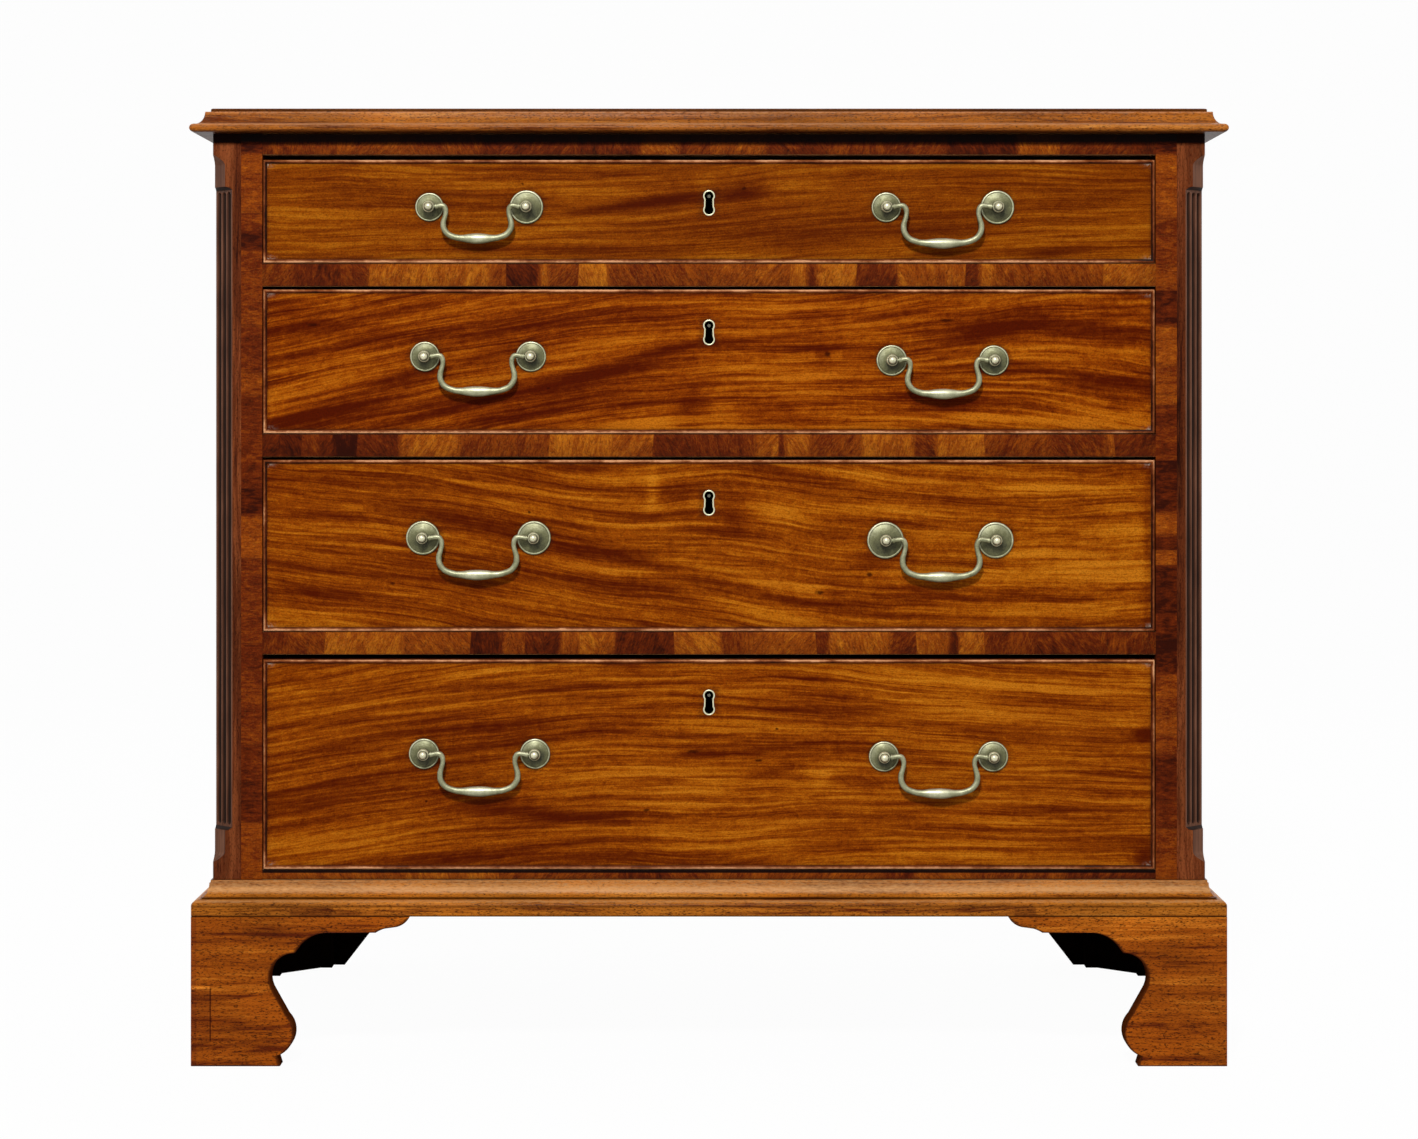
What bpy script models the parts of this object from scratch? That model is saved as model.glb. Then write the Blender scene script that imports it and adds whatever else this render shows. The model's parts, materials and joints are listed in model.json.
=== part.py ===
"""A mahogany chest of four long drawers, in metres.

It stands on Z = 0 with its front towards -Y, and its origin is at the bottom centre of its box.
The drawers slide out along -Y, the bails of their handles swing about their posts, and each lock's
bolt rises into the rail above.
"""

import math
from collections import namedtuple

import bmesh
import bpy
from mathutils import Vector

# Clearances: between glued pieces, under and beside a drawer, and round a moving pin or bolt
TOUCH = 0.0003
SLIDE_GAP = 0.0005
SIDE_GAP = 0.0010
PIVOT_GAP = 0.0003
OVERLAP = 0.0010

# Case
CASE_WIDTH = 0.8780
CASE_DEPTH = 0.4720
SIDE_THICKNESS = 0.0180
BACK_THICKNESS = 0.0120
BACK_REBATE = 0.0090
BOARD_THICKNESS = 0.0090
BOTTOM_THICKNESS = 0.0150
RAIL_THICKNESS = 0.0203
RAIL_DEPTH = 0.0700
TOP_RAIL_HEIGHT = 0.0186
GUIDE_HEIGHT = 0.0140
STOP_WIDTH = 0.0300
STOP_DEPTH = 0.0200
STOP_HEIGHT = 0.0070
STOP_OFFSET = 0.2300

# Canted corner posts, with three flutes between lamb's-tongue stops
POST_WIDTH = 0.0437
POST_DEPTH = 0.0420
CANT_LEG = 0.0172
NECK_LEG = 0.0108
ARRIS_LEG = 0.0006
LOWER_SQUARE = 0.0246
TONGUE_LENGTH = 0.0095
NECK_LENGTH = 0.0185
LEDGE_LENGTH = 0.0035
FLUTE_COUNT = 3
FLUTE_RADIUS = 0.0024
FLUTE_SINK = 0.0020
FLUTE_PITCH = 0.0072
FLUTE_MARGIN = 0.0020

# Moulded top board
TOP_OVERHANG = 0.0182
TOP_BACK_OVERHANG = 0.0060
TOP_NOSE_RADIUS = 0.0037
TOP_COVE_OUT = 0.0083
TOP_COVE_DROP = 0.0113
TOP_STEP = 0.0045
TOP_FILLET = 0.0035

# Base moulding: fascia, bead, quirk, cove and fillet, from the bottom up
MOULDING_HEIGHT = 0.0302
MOULDING_OUT = 0.0168
FASCIA_HEIGHT = 0.0092
BEAD_HEIGHT = 0.0050
QUIRK_IN = 0.0046
QUIRK_HEIGHT = 0.0014
MOULDING_FILLET_OUT = 0.0020
MOULDING_FILLET = 0.0026
BASE_REVEAL = 0.0090

# Bracket feet
FOOT_HEIGHT = 0.1312
FOOT_LENGTH = 0.1925
FOOT_THICKNESS = 0.0180
REAR_FOOT_BASE = 0.0765
REAR_FOOT_TOP = 0.1785
GLUE_BLOCK = 0.0380
GLUE_BLOCK_RISE = 0.0100
# Plan of the block behind a rear foot: distance in from the side, and forward from the back
REAR_BLOCK = ((0.0170, 0.0700), (0.0542, 0.0397), (0.0660, 0.0397))
REAR_BLOCK_RISE = 0.0010
# Inner edge of the bracket from the toe up: shares of its length and height, and the bulge of the
# arc that leads there, which is twice its height over its chord, positive to the left
FOOT_EDGE = (
    (0.408, 0.000, 0.00),
    (0.394, 0.067, 0.00),
    (0.440, 0.335, -0.56),
    (0.380, 0.492, 0.00),
    (0.476, 0.758, 0.60),
    (0.492, 0.792, 0.00),
    (0.635, 0.893, 0.26),
    (0.845, 0.893, 0.00),
    (0.885, 0.920, 0.08),
    (0.935, 0.930, 0.00),
    (1.000, 1.000, -0.24),
)
ARC_STEPS = 5

# Drawers
FRONT_THICKNESS = 0.0210
BEAD_WIDTH = 0.0032
BEAD_PROUD = 0.0016
DRAWER_BACK_GAP = 0.0197
DRAWER_SIDE = 0.0095
SIDE_DROP = 0.0040
BACK_DROP = 0.0120
BOTTOM_RAISE = 0.0105
DRAWER_BOTTOM = 0.0070
GROOVE_DEPTH = 0.0045
LAP = 0.0060
TAIL_FLARE = 0.0020
PIN_WIDTH = 0.0050
TAIL_PITCH = 0.0450

# Locks and their keyholes
KEYHOLE_DROP = 0.0380
KEYHOLE_CIRCLE = 0.0036
KEYHOLE_NECK = 0.0028
KEYHOLE_FOOT = 0.0036
KEYHOLE_CIRCLE_RISE = 0.0061
KEYHOLE_FOOT_DROP = 0.0062
LINER_WALL = 0.0018
LOCK_WIDTH = 0.0720
LOCK_THICKNESS = 0.0120
LOCK_BELOW_KEYHOLE = 0.0160
KEYHOLE_INTO_LOCK = 0.0070
DRILL_PIN_RADIUS = 0.0015
DRILL_PIN_SHORT = 0.0030
BOLT_WIDTH = 0.0260
BOLT_THICKNESS = 0.0055
BOLT_HEIGHT = 0.0200
BOLT_THROW = 0.0080
MORTISE_GAP = 0.0015

# Handles
ROSE_THICKNESS = 0.0022
PIVOT_PROUD = 0.0088
HEAD_RADIUS = 0.0052
HEAD_HOLE_RADIUS = 0.0019
PIN_RADIUS = 0.0014
PIN_LENGTH = 0.0036
SHANK_RADIUS = 0.0022
NUT_RADIUS = 0.0060
NUT_THICKNESS = 0.0030
BAIL_NECK_RADIUS = 0.0016
BAIL_SIDE_RADIUS = 0.0026
BAIL_GRIP_RADIUS = 0.0046
BAIL_PATTERN = 0.0970
ROUND_SIDES = 12
BAIL_SIDES = 8
# Half a bail from its neck to near the middle of its grip, for posts BAIL_PATTERN apart: how far in
# from the post, how far below it, and the share of the way from the neck's radius to the side's
BAIL_CURVE = (
    (0.0105, 0.0000, 0.0),
    (0.0150, 0.0014, 0.0),
    (0.0174, 0.0048, 0.1),
    (0.0164, 0.0100, 0.5),
    (0.0146, 0.0158, 0.9),
    (0.0154, 0.0222, 1.0),
    (0.0200, 0.0280, 1.0),
    (0.0278, 0.0310, 1.0),
    (0.0362, 0.0318, 1.0),
    (0.0425, 0.0320, 1.0),
)

Handle = namedtuple("Handle", "side offset spacing drop left_rose right_rose")
Drawer = namedtuple("Drawer", "name height headroom handles")
DRAWERS = (
    Drawer("drawer_4", 0.1854, 0.0044, (
        Handle("left", 0.2030, 0.0982, 0.0834, 0.0135, 0.0134),
        Handle("right", 0.2030, 0.0965, 0.0858, 0.0134, 0.0134),
    )),
    Drawer("drawer_3", 0.1514, 0.0026, (
        Handle("left", 0.2040, 0.0982, 0.0690, 0.0150, 0.0150),
        Handle("right", 0.2048, 0.0974, 0.0711, 0.0163, 0.0160),
    )),
    Drawer("drawer_2", 0.1274, 0.0027, (
        Handle("left", 0.2044, 0.0938, 0.0594, 0.0132, 0.0134),
        Handle("right", 0.2068, 0.0903, 0.0628, 0.0136, 0.0133),
    )),
    Drawer("drawer_1", 0.0911, 0.0045, (
        Handle("left", 0.2044, 0.0858, 0.0418, 0.0126, 0.0149),
        Handle("right", 0.2060, 0.0982, 0.0420, 0.0132, 0.0149),
    )),
)

# Places worked out from the sizes
CASE_HALF = CASE_WIDTH / 2
FRONT = -(CASE_DEPTH + TOP_OVERHANG + TOP_BACK_OVERHANG) / 2 + TOP_OVERHANG
BACK = FRONT + CASE_DEPTH
OPENING_HALF = CASE_HALF - POST_WIDTH
DRAWER_HALF = OPENING_HALF - SIDE_GAP
BEHIND_POSTS = FRONT + POST_DEPTH + TOUCH
INSIDE_BACK = BACK - BACK_THICKNESS - TOUCH
CASE_LOW = FOOT_HEIGHT + TOUCH
FIRST_FLOOR = FOOT_HEIGHT + MOULDING_HEIGHT + BASE_REVEAL
FRONT_REAR = FRONT + FRONT_THICKNESS
DRAWER_REAR = INSIDE_BACK - DRAWER_BACK_GAP
LOCK_FRONT = FRONT_REAR - LOCK_THICKNESS
BOLT_MIDDLE = FRONT_REAR - LOCK_THICKNESS / 2
PIVOT_Y = FRONT - PIVOT_PROUD

FINISHES = {
    "mahogany": ((0.30, 0.095, 0.025), 0.32, 0.0),
    "figured_mahogany": ((0.34, 0.11, 0.022), 0.28, 0.0),
    "dark_mahogany": ((0.060, 0.030, 0.020), 0.35, 0.0),
    "oak": ((0.36, 0.23, 0.12), 0.65, 0.0),
    "pine": ((0.40, 0.26, 0.13), 0.75, 0.0),
    "brass": ((0.42, 0.38, 0.22), 0.38, 1.0),
    "lock_brass": ((0.60, 0.50, 0.24), 0.40, 1.0),
    "steel": ((0.30, 0.30, 0.30), 0.45, 1.0),
}


def clear_scene():
    for obj in list(bpy.data.objects):
        bpy.data.objects.remove(obj, do_unlink=True)


def finish(name):
    """The Principled material of this name, made once."""
    made = bpy.data.materials.get(name)
    if made:
        return made
    colour, roughness, metallic = FINISHES[name]
    made = bpy.data.materials.new(name)
    made.use_nodes = True
    shader = made.node_tree.nodes["Principled BSDF"]
    shader.inputs["Base Color"].default_value = (*colour, 1.0)
    shader.inputs["Roughness"].default_value = roughness
    shader.inputs["Metallic"].default_value = metallic
    made.diffuse_color = (*colour, 1.0)
    return made


def add_object(name, shape, finish_name="mahogany"):
    """Turns a bmesh into an object with one material."""
    bmesh.ops.recalc_face_normals(shape, faces=shape.faces)
    mesh = bpy.data.meshes.new(name)
    shape.to_mesh(mesh)
    shape.free()
    mesh.materials.append(finish(finish_name))
    obj = bpy.data.objects.new(name, mesh)
    bpy.context.scene.collection.objects.link(obj)
    return obj


def loft(name, rings, finish_name="mahogany"):
    """A closed solid through rings of equally many points, capped at both ends."""
    shape = bmesh.new()
    rows = [[shape.verts.new(point) for point in ring] for ring in rings]
    for row, following in zip(rows, rows[1:]):
        for i in range(len(row)):
            j = (i + 1) % len(row)
            shape.faces.new((row[i], row[j], following[j], following[i]))
    shape.faces.new(rows[0])
    shape.faces.new(rows[-1])
    return add_object(name, shape, finish_name)


def prism(name, outline, axis, low, high, finish_name="mahogany"):
    """An outline in the two other axes, carried along one axis from low to high."""
    place = {
        "X": lambda a, b, along: (along, a, b),
        "Y": lambda a, b, along: (a, along, b),
        "Z": lambda a, b, along: (a, b, along),
    }[axis]
    return loft(name, [[place(a, b, along) for a, b in outline] for along in (low, high)], finish_name)


def block(name, low, high, finish_name="mahogany"):
    """A box between two corners."""
    outline = ((low[0], low[1]), (high[0], low[1]), (high[0], high[1]), (low[0], high[1]))
    return prism(name, outline, "Z", low[2], high[2], finish_name)


def combine(target, others, operation):
    """Cuts the other solids from the target, or joins them to it, and removes them."""
    for other in others:
        modifier = target.modifiers.new(operation.lower(), "BOOLEAN")
        modifier.operation = operation
        modifier.solver = "EXACT"
        modifier.object = other
    bpy.context.view_layer.update()
    graph = bpy.context.evaluated_depsgraph_get()
    mesh = bpy.data.meshes.new_from_object(target.evaluated_get(graph))
    target.modifiers.clear()
    target.data = mesh
    mesh.name = target.name
    for other in others:
        bpy.data.objects.remove(other, do_unlink=True)
    return target


def cut(target, *others):
    return combine(target, others, "DIFFERENCE")


def join(target, *others):
    return combine(target, others, "UNION")


def arc(start, end, bulge, steps):
    """Points after start up to end, on the arc whose height is bulge times half its chord."""
    if not bulge:
        return [end]
    angle = 4 * math.atan(bulge)
    chord = Vector(end) - Vector(start)
    radius = chord.length / (2 * math.sin(angle / 2))
    middle = (Vector(start) + Vector(end)) / 2
    across = Vector((chord.y, -chord.x)).normalized()
    centre = middle + across * (radius * math.cos(angle / 2))
    spoke = Vector(start) - centre
    points = []
    for i in range(1, steps + 1):
        turn = -angle * i / steps
        points.append((
            centre.x + spoke.x * math.cos(turn) - spoke.y * math.sin(turn),
            centre.y + spoke.x * math.sin(turn) + spoke.y * math.cos(turn),
        ))
    return points


def circle(centre, radius, y, sides):
    """A ring of points round an axis along Y."""
    turn = 2 * math.pi / sides
    return [
        (centre[0] + radius * math.cos(turn * i), y, centre[1] + radius * math.sin(turn * i))
        for i in range(sides)
    ]


def rounded(obj):
    """Shades a round piece smooth, keeping edges sharper than 40 degrees."""
    obj.data.shade_smooth()
    obj.data.set_sharp_from_angle(angle=math.radians(40))
    return obj


def bays():
    """For each drawer from the bottom: the floor it runs on, its lower and upper edge, and the rail above."""
    floor = FIRST_FLOOR
    found = []
    for drawer in DRAWERS:
        low = floor + SLIDE_GAP
        high = low + drawer.height
        opening_top = high + drawer.headroom
        found.append((drawer, floor, low, high, opening_top))
        floor = opening_top + RAIL_THICKNESS
    return found


CASE_HIGH = bays()[-1][4] + TOP_RAIL_HEIGHT


def make_top_board():
    """Rectangles stacked along the moulded edge's profile, which the back edge leaves out."""
    half_turn = math.pi / 2
    profile = []
    for i in range(5):
        angle = -half_turn + i * half_turn / 2
        profile.append((
            TOP_NOSE_RADIUS - TOP_NOSE_RADIUS * math.cos(angle),
            TOP_NOSE_RADIUS + TOP_NOSE_RADIUS * math.sin(angle),
        ))
    cove_foot = 2 * TOP_NOSE_RADIUS
    cove_in = TOP_NOSE_RADIUS + TOP_COVE_OUT
    for i in range(1, 5):
        angle = i * half_turn / 4
        profile.append((
            TOP_NOSE_RADIUS + TOP_COVE_OUT * math.sin(angle),
            cove_foot + TOP_COVE_DROP * (1 - math.cos(angle)),
        ))
    profile.append((cove_in + TOP_STEP, cove_foot + TOP_COVE_DROP))
    profile.append((cove_in + TOP_STEP, cove_foot + TOP_COVE_DROP + TOP_FILLET))
    rings = []
    for inset, rise in profile:
        side = CASE_HALF + TOP_OVERHANG - inset
        nose = FRONT - TOP_OVERHANG + inset
        rear = BACK + TOP_BACK_OVERHANG
        z = CASE_HIGH + TOUCH + rise
        rings.append([(-side, nose, z), (side, nose, z), (side, rear, z), (-side, rear, z)])
    return loft("top_board", rings)


def make_side(name, hand):
    """A side board behind its corner post, rebated at the rear for the back."""
    outer = CASE_HALF * hand
    inner = (CASE_HALF - SIDE_THICKNESS) * hand
    rebate = (CASE_HALF - BACK_REBATE) * hand
    outline = (
        (inner, BEHIND_POSTS),
        (outer, BEHIND_POSTS),
        (outer, BACK),
        (rebate, BACK),
        (rebate, INSIDE_BACK),
        (inner, INSIDE_BACK),
    )
    return prism(name, outline, "Z", CASE_LOW, CASE_HIGH)


def make_back():
    half = CASE_HALF - BACK_REBATE - TOUCH
    return block("back_panel", (-half, BACK - BACK_THICKNESS, CASE_LOW), (half, BACK, CASE_HIGH), "pine")


def make_post(name, hand):
    """A corner post whose cant narrows to a neck, then runs out to a square corner, at both ends."""
    low_tongue = CASE_LOW + MOULDING_HEIGHT + LOWER_SQUARE - BASE_REVEAL
    high_tongue = CASE_HIGH - TOP_RAIL_HEIGHT
    stations = [(CASE_LOW, ARRIS_LEG)]
    climb = []
    for i in range(5):
        share = i / 4
        leg = ARRIS_LEG + (NECK_LEG - ARRIS_LEG) * math.sin(share * math.pi / 2)
        climb.append((share * TONGUE_LENGTH, leg))
    climb.append((TONGUE_LENGTH + NECK_LENGTH, NECK_LEG))
    climb.append((TONGUE_LENGTH + NECK_LENGTH + LEDGE_LENGTH, CANT_LEG))
    stations += [(low_tongue + rise, leg) for rise, leg in climb]
    stations += [(high_tongue - rise, leg) for rise, leg in reversed(climb)]
    stations.append((CASE_HIGH, ARRIS_LEG))
    rings = []
    for z, leg in stations:
        rings.append([
            (OPENING_HALF * hand, FRONT, z),
            ((CASE_HALF - leg) * hand, FRONT, z),
            (CASE_HALF * hand, FRONT + leg, z),
            (CASE_HALF * hand, FRONT + POST_DEPTH, z),
            (OPENING_HALF * hand, FRONT + POST_DEPTH, z),
        ])
    post = loft(name, rings, "dark_mahogany")
    stop = TONGUE_LENGTH + NECK_LENGTH + LEDGE_LENGTH + FLUTE_MARGIN
    face = Vector(((CASE_HALF - CANT_LEG / 2) * hand, FRONT + CANT_LEG / 2))
    along = Vector((hand, 1)).normalized()
    outward = Vector((hand, -1)).normalized()
    flutes = []
    for i in range(FLUTE_COUNT):
        shift = (i - (FLUTE_COUNT - 1) / 2) * FLUTE_PITCH
        centre = face + along * shift + outward * (FLUTE_RADIUS - FLUTE_SINK)
        outline = []
        for k in range(ROUND_SIDES):
            angle = 2 * math.pi * k / ROUND_SIDES
            outline.append((
                centre.x + FLUTE_RADIUS * math.cos(angle),
                centre.y + FLUTE_RADIUS * math.sin(angle),
            ))
        flutes.append(prism("flute", outline, "Z", low_tongue + stop, high_tongue - stop))
    return cut(post, *flutes)


def make_floor(name, top, rail_height, thickness, runs_drawer, mortised):
    """A full-depth board with its front rail, the guides and stops of the drawer that runs on it, and
    the mortise under the rail for the bolt of the lock below."""
    inner = OPENING_HALF - TOUCH
    outer = CASE_HALF - SIDE_THICKNESS - TOUCH
    shoulder = BEHIND_POSTS
    outline = (
        (-inner, FRONT),
        (inner, FRONT),
        (inner, shoulder),
        (outer, shoulder),
        (outer, INSIDE_BACK),
        (-outer, INSIDE_BACK),
        (-outer, shoulder),
        (-inner, shoulder),
    )
    floor = prism(name, outline, "Z", top - thickness, top)
    rail = block("rail", (-inner, FRONT, top - rail_height), (inner, FRONT + RAIL_DEPTH, top - thickness / 2))
    join(floor, rail)
    if runs_drawer:
        fittings = []
        for hand in (-1, 1):
            low, high = sorted((OPENING_HALF * hand, (outer - OVERLAP) * hand))
            fittings.append(block(
                "guide",
                (low, shoulder + OVERLAP, top - OVERLAP),
                (high, INSIDE_BACK - OVERLAP, top + GUIDE_HEIGHT),
            ))
            middle = STOP_OFFSET * hand
            fittings.append(block(
                "stop",
                (middle - STOP_WIDTH / 2, FRONT_REAR + TOUCH, top - OVERLAP),
                (middle + STOP_WIDTH / 2, FRONT_REAR + TOUCH + STOP_DEPTH, top + STOP_HEIGHT),
            ))
        join(floor, *fittings)
    if mortised:
        half = BOLT_WIDTH / 2 + MORTISE_GAP
        reach = BOLT_THICKNESS / 2 + MORTISE_GAP
        under = top - rail_height
        cut(floor, block(
            "mortise",
            (-half, BOLT_MIDDLE - reach, under - OVERLAP),
            (half, BOLT_MIDDLE + reach, under + BOLT_THROW + MORTISE_GAP),
        ))
    return floor


def make_base_moulding():
    """The moulding's profile carried along the left side, the front and the right side, with mitres."""
    low = CASE_LOW
    high = FOOT_HEIGHT + MOULDING_HEIGHT
    bead_top = low + FASCIA_HEIGHT + BEAD_HEIGHT
    cove_foot = bead_top + QUIRK_HEIGHT
    cove_head = high - MOULDING_FILLET
    quirk = MOULDING_OUT - QUIRK_IN - BEAD_HEIGHT / 2
    profile = [(TOUCH, low), (MOULDING_OUT, low), (MOULDING_OUT, low + FASCIA_HEIGHT)]
    bead_in = MOULDING_OUT - quirk
    for i in range(1, 5):
        angle = i * math.pi / 8
        profile.append((
            MOULDING_OUT - bead_in * (1 - math.cos(angle)),
            low + FASCIA_HEIGHT + BEAD_HEIGHT * math.sin(angle),
        ))
    profile.append((quirk - TOUCH, cove_foot))
    cove_out = quirk - TOUCH - MOULDING_FILLET_OUT - OVERLAP
    for i in range(1, 5):
        angle = i * math.pi / 8
        profile.append((
            quirk - TOUCH - cove_out * math.sin(angle),
            cove_foot + (cove_head - cove_foot) * (1 - math.cos(angle)),
        ))
    profile += [(MOULDING_FILLET_OUT, cove_head), (MOULDING_FILLET_OUT, high), (TOUCH, high)]
    rings = [
        [(-CASE_HALF - out, BACK, z) for out, z in profile],
        [(-CASE_HALF - out, FRONT - out, z) for out, z in profile],
        [(CASE_HALF + out, FRONT - out, z) for out, z in profile],
        [(CASE_HALF + out, BACK, z) for out, z in profile],
    ]
    return loft("base_moulding", rings)


def bracket_outline(start):
    """The outline of a shaped bracket, from start in to its tip: distance from the corner, height."""
    outline = [(start, FOOT_HEIGHT), (start, 0.0)]
    for share_in, share_up, bulge in FOOT_EDGE:
        point = (share_in * FOOT_LENGTH, share_up * FOOT_HEIGHT)
        outline += arc(outline[-1], point, bulge, ARC_STEPS)
    return outline


def make_front_foot(name, hand):
    """A front and a side bracket that meet at the corner, with a glue block behind them."""
    edge = CASE_HALF + MOULDING_OUT
    face = FRONT - MOULDING_OUT
    inner = (edge - FOOT_THICKNESS) * hand
    foot = prism(
        name,
        [((edge - u) * hand, z) for u, z in bracket_outline(0.0)],
        "Y",
        face,
        face + FOOT_THICKNESS,
    )
    side = prism(
        "side_bracket",
        [(face + u, z) for u, z in bracket_outline(FOOT_THICKNESS / 2)],
        "X",
        *sorted((inner, edge * hand)),
    )
    low, high = sorted((inner + OVERLAP * hand, inner - GLUE_BLOCK * hand))
    glue = block(
        "glue",
        (low, face + FOOT_THICKNESS - OVERLAP, GLUE_BLOCK_RISE),
        (high, face + FOOT_THICKNESS + GLUE_BLOCK, FOOT_HEIGHT - OVERLAP),
    )
    return join(foot, side, glue)


def make_rear_foot(name, hand):
    """A side bracket, a back bracket cut off on the slant, and a glue block."""
    edge = CASE_HALF + MOULDING_OUT
    inner = (edge - FOOT_THICKNESS) * hand
    foot = prism(
        name,
        [(BACK - u, z) for u, z in bracket_outline(0.0)],
        "X",
        *sorted((inner, edge * hand)),
    )
    slanted = (
        (FOOT_THICKNESS / 2, 0.0),
        (REAR_FOOT_BASE, 0.0),
        (REAR_FOOT_TOP, FOOT_HEIGHT),
        (FOOT_THICKNESS / 2, FOOT_HEIGHT),
    )
    rear = prism(
        "back_bracket",
        [((edge - u) * hand, z) for u, z in slanted],
        "Y",
        BACK - FOOT_THICKNESS,
        BACK,
    )
    root = FOOT_THICKNESS - OVERLAP
    plan = ((REAR_BLOCK[0][0], root), *REAR_BLOCK, (REAR_BLOCK[-1][0], root))
    glue = prism(
        "glue",
        [((edge - u) * hand, BACK - v) for u, v in plan],
        "Z",
        REAR_BLOCK_RISE,
        FOOT_HEIGHT - OVERLAP,
    )
    return join(foot, rear, glue)


def tail_places(low, high):
    """The middle of each dovetail of a drawer side, and the half width of its tip and of its root."""
    count = max(2, round((high - low) / TAIL_PITCH))
    pitch = (high - low) / count
    tip = (pitch - PIN_WIDTH) / 2
    return [low + (i + 0.5) * pitch for i in range(count)], tip, tip - TAIL_FLARE


def make_drawer_front(name, low, high, sockets, pull_places):
    """The front with its cockbead, cut for the dovetails, bottom, lock, keyhole and handle shanks."""
    rings = []
    for inset, y in (
        (0.0, FRONT_REAR),
        (0.0, FRONT - BEAD_PROUD / 2),
        (BEAD_WIDTH / 4, FRONT - BEAD_PROUD),
        (BEAD_WIDTH * 3 / 4, FRONT - BEAD_PROUD),
        (BEAD_WIDTH, FRONT - BEAD_PROUD / 2),
        (BEAD_WIDTH, FRONT),
    ):
        x, bottom, top = DRAWER_HALF - inset, low + inset, high - inset
        rings.append([(-x, y, bottom), (x, y, bottom), (x, y, top), (-x, y, top)])
    front = loft(name, rings, "figured_mahogany")
    middles, tip, root = sockets
    past = FRONT_REAR + OVERLAP
    root_past = root - TAIL_FLARE * OVERLAP / (FRONT_THICKNESS - LAP)
    cutters = []
    for hand in (-1, 1):
        span = sorted(((DRAWER_HALF - DRAWER_SIDE - TOUCH) * hand, (DRAWER_HALF + OVERLAP) * hand))
        for z in middles:
            outline = (
                (past, z - root_past - TOUCH),
                (past, z + root_past + TOUCH),
                (FRONT + LAP, z + tip + TOUCH),
                (FRONT + LAP, z - tip - TOUCH),
            )
            cutters.append(prism("socket", outline, "X", *span))
    inside = DRAWER_HALF - DRAWER_SIDE - 2 * OVERLAP
    cutters.append(block(
        "groove",
        (-inside, FRONT_REAR - GROOVE_DEPTH, low + BOTTOM_RAISE - TOUCH),
        (inside, past, low + BOTTOM_RAISE + DRAWER_BOTTOM + TOUCH),
    ))
    keyhole = high - KEYHOLE_DROP
    lock_half = LOCK_WIDTH / 2 + TOUCH
    cutters.append(block(
        "pocket",
        (-lock_half, LOCK_FRONT - TOUCH, keyhole - LOCK_BELOW_KEYHOLE - TOUCH),
        (lock_half, past, high + OVERLAP),
    ))
    cutters.append(prism(
        "keyhole",
        keyhole_outline(keyhole, LINER_WALL + TOUCH),
        "Y",
        FRONT - OVERLAP,
        LOCK_FRONT + OVERLAP,
    ))
    for x, z in pull_places:
        rings = [circle((x, z), SHANK_RADIUS + TOUCH, y, BAIL_SIDES) for y in (FRONT - OVERLAP, past)]
        cutters.append(loft("shank_hole", rings))
    return cut(front, *cutters)


def keyhole_outline(middle, grow):
    """A circle over a slot that widens to a round foot, grown outwards by so much."""
    circle_radius = KEYHOLE_CIRCLE + grow
    neck = KEYHOLE_NECK + grow
    foot = KEYHOLE_FOOT + grow
    start = math.asin(neck / circle_radius)
    outline = []
    for i in range(9):
        angle = start + (2 * math.pi - 2 * start) * i / 8
        outline.append((
            -circle_radius * math.sin(angle),
            middle + KEYHOLE_CIRCLE_RISE - circle_radius * math.cos(angle),
        ))
    for i in range(7):
        angle = math.pi * i / 6
        outline.append((
            foot * math.cos(angle),
            middle - KEYHOLE_FOOT_DROP - foot * math.sin(angle),
        ))
    return outline


def make_drawer_box(name, low, high, sockets):
    """Both sides, with the tails of their dovetails, and the back between them, glued together."""
    middles, tip, root = sockets
    top = high - SIDE_DROP
    shoulder = FRONT_REAR + TOUCH
    rear = DRAWER_REAR
    outline = [(rear, low), (shoulder, low)]
    for z in middles:
        outline += [
            (shoulder, z - root),
            (FRONT + LAP + TOUCH, z - tip),
            (FRONT + LAP + TOUCH, z + tip),
            (shoulder, z + root),
        ]
    outline += [(shoulder, top), (rear, top)]
    inner = DRAWER_HALF - DRAWER_SIDE
    sides = [
        prism(name if hand < 0 else "side", outline, "X", *sorted((inner * hand, DRAWER_HALF * hand)), "oak")
        for hand in (-1, 1)
    ]
    groove_low = low + BOTTOM_RAISE - TOUCH
    groove_high = low + BOTTOM_RAISE + DRAWER_BOTTOM + TOUCH
    back = block(
        "back",
        (-inner - OVERLAP, rear - DRAWER_SIDE, groove_high),
        (inner + OVERLAP, rear - OVERLAP / 2, top - BACK_DROP),
        "oak",
    )
    grooves = []
    for side, hand in zip(sides, (-1, 1)):
        groove = sorted(((inner - OVERLAP) * hand, (inner + GROOVE_DEPTH) * hand))
        cutter = block(
            "groove",
            (groove[0], shoulder - OVERLAP / 2, groove_low),
            (groove[1], rear + OVERLAP, groove_high),
        )
        grooves.append(cut(side, cutter))
    return join(grooves[0], grooves[1], back)


def make_drawer_bottom(name, low):
    """A board held in the grooves of the sides and the front, and passing under the back."""
    wide = DRAWER_HALF - DRAWER_SIDE + GROOVE_DEPTH - TOUCH
    narrow = DRAWER_HALF - DRAWER_SIDE - 2 * OVERLAP - TOUCH
    shoulder = FRONT_REAR + TOUCH + OVERLAP
    tongue = FRONT_REAR - GROOVE_DEPTH + TOUCH
    rear = DRAWER_REAR
    outline = (
        (-narrow, tongue),
        (narrow, tongue),
        (narrow, shoulder),
        (wide, shoulder),
        (wide, rear),
        (-wide, rear),
        (-wide, shoulder),
        (-narrow, shoulder),
    )
    z = low + BOTTOM_RAISE
    return prism(name, outline, "Z", z, z + DRAWER_BOTTOM, "oak")


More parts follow.
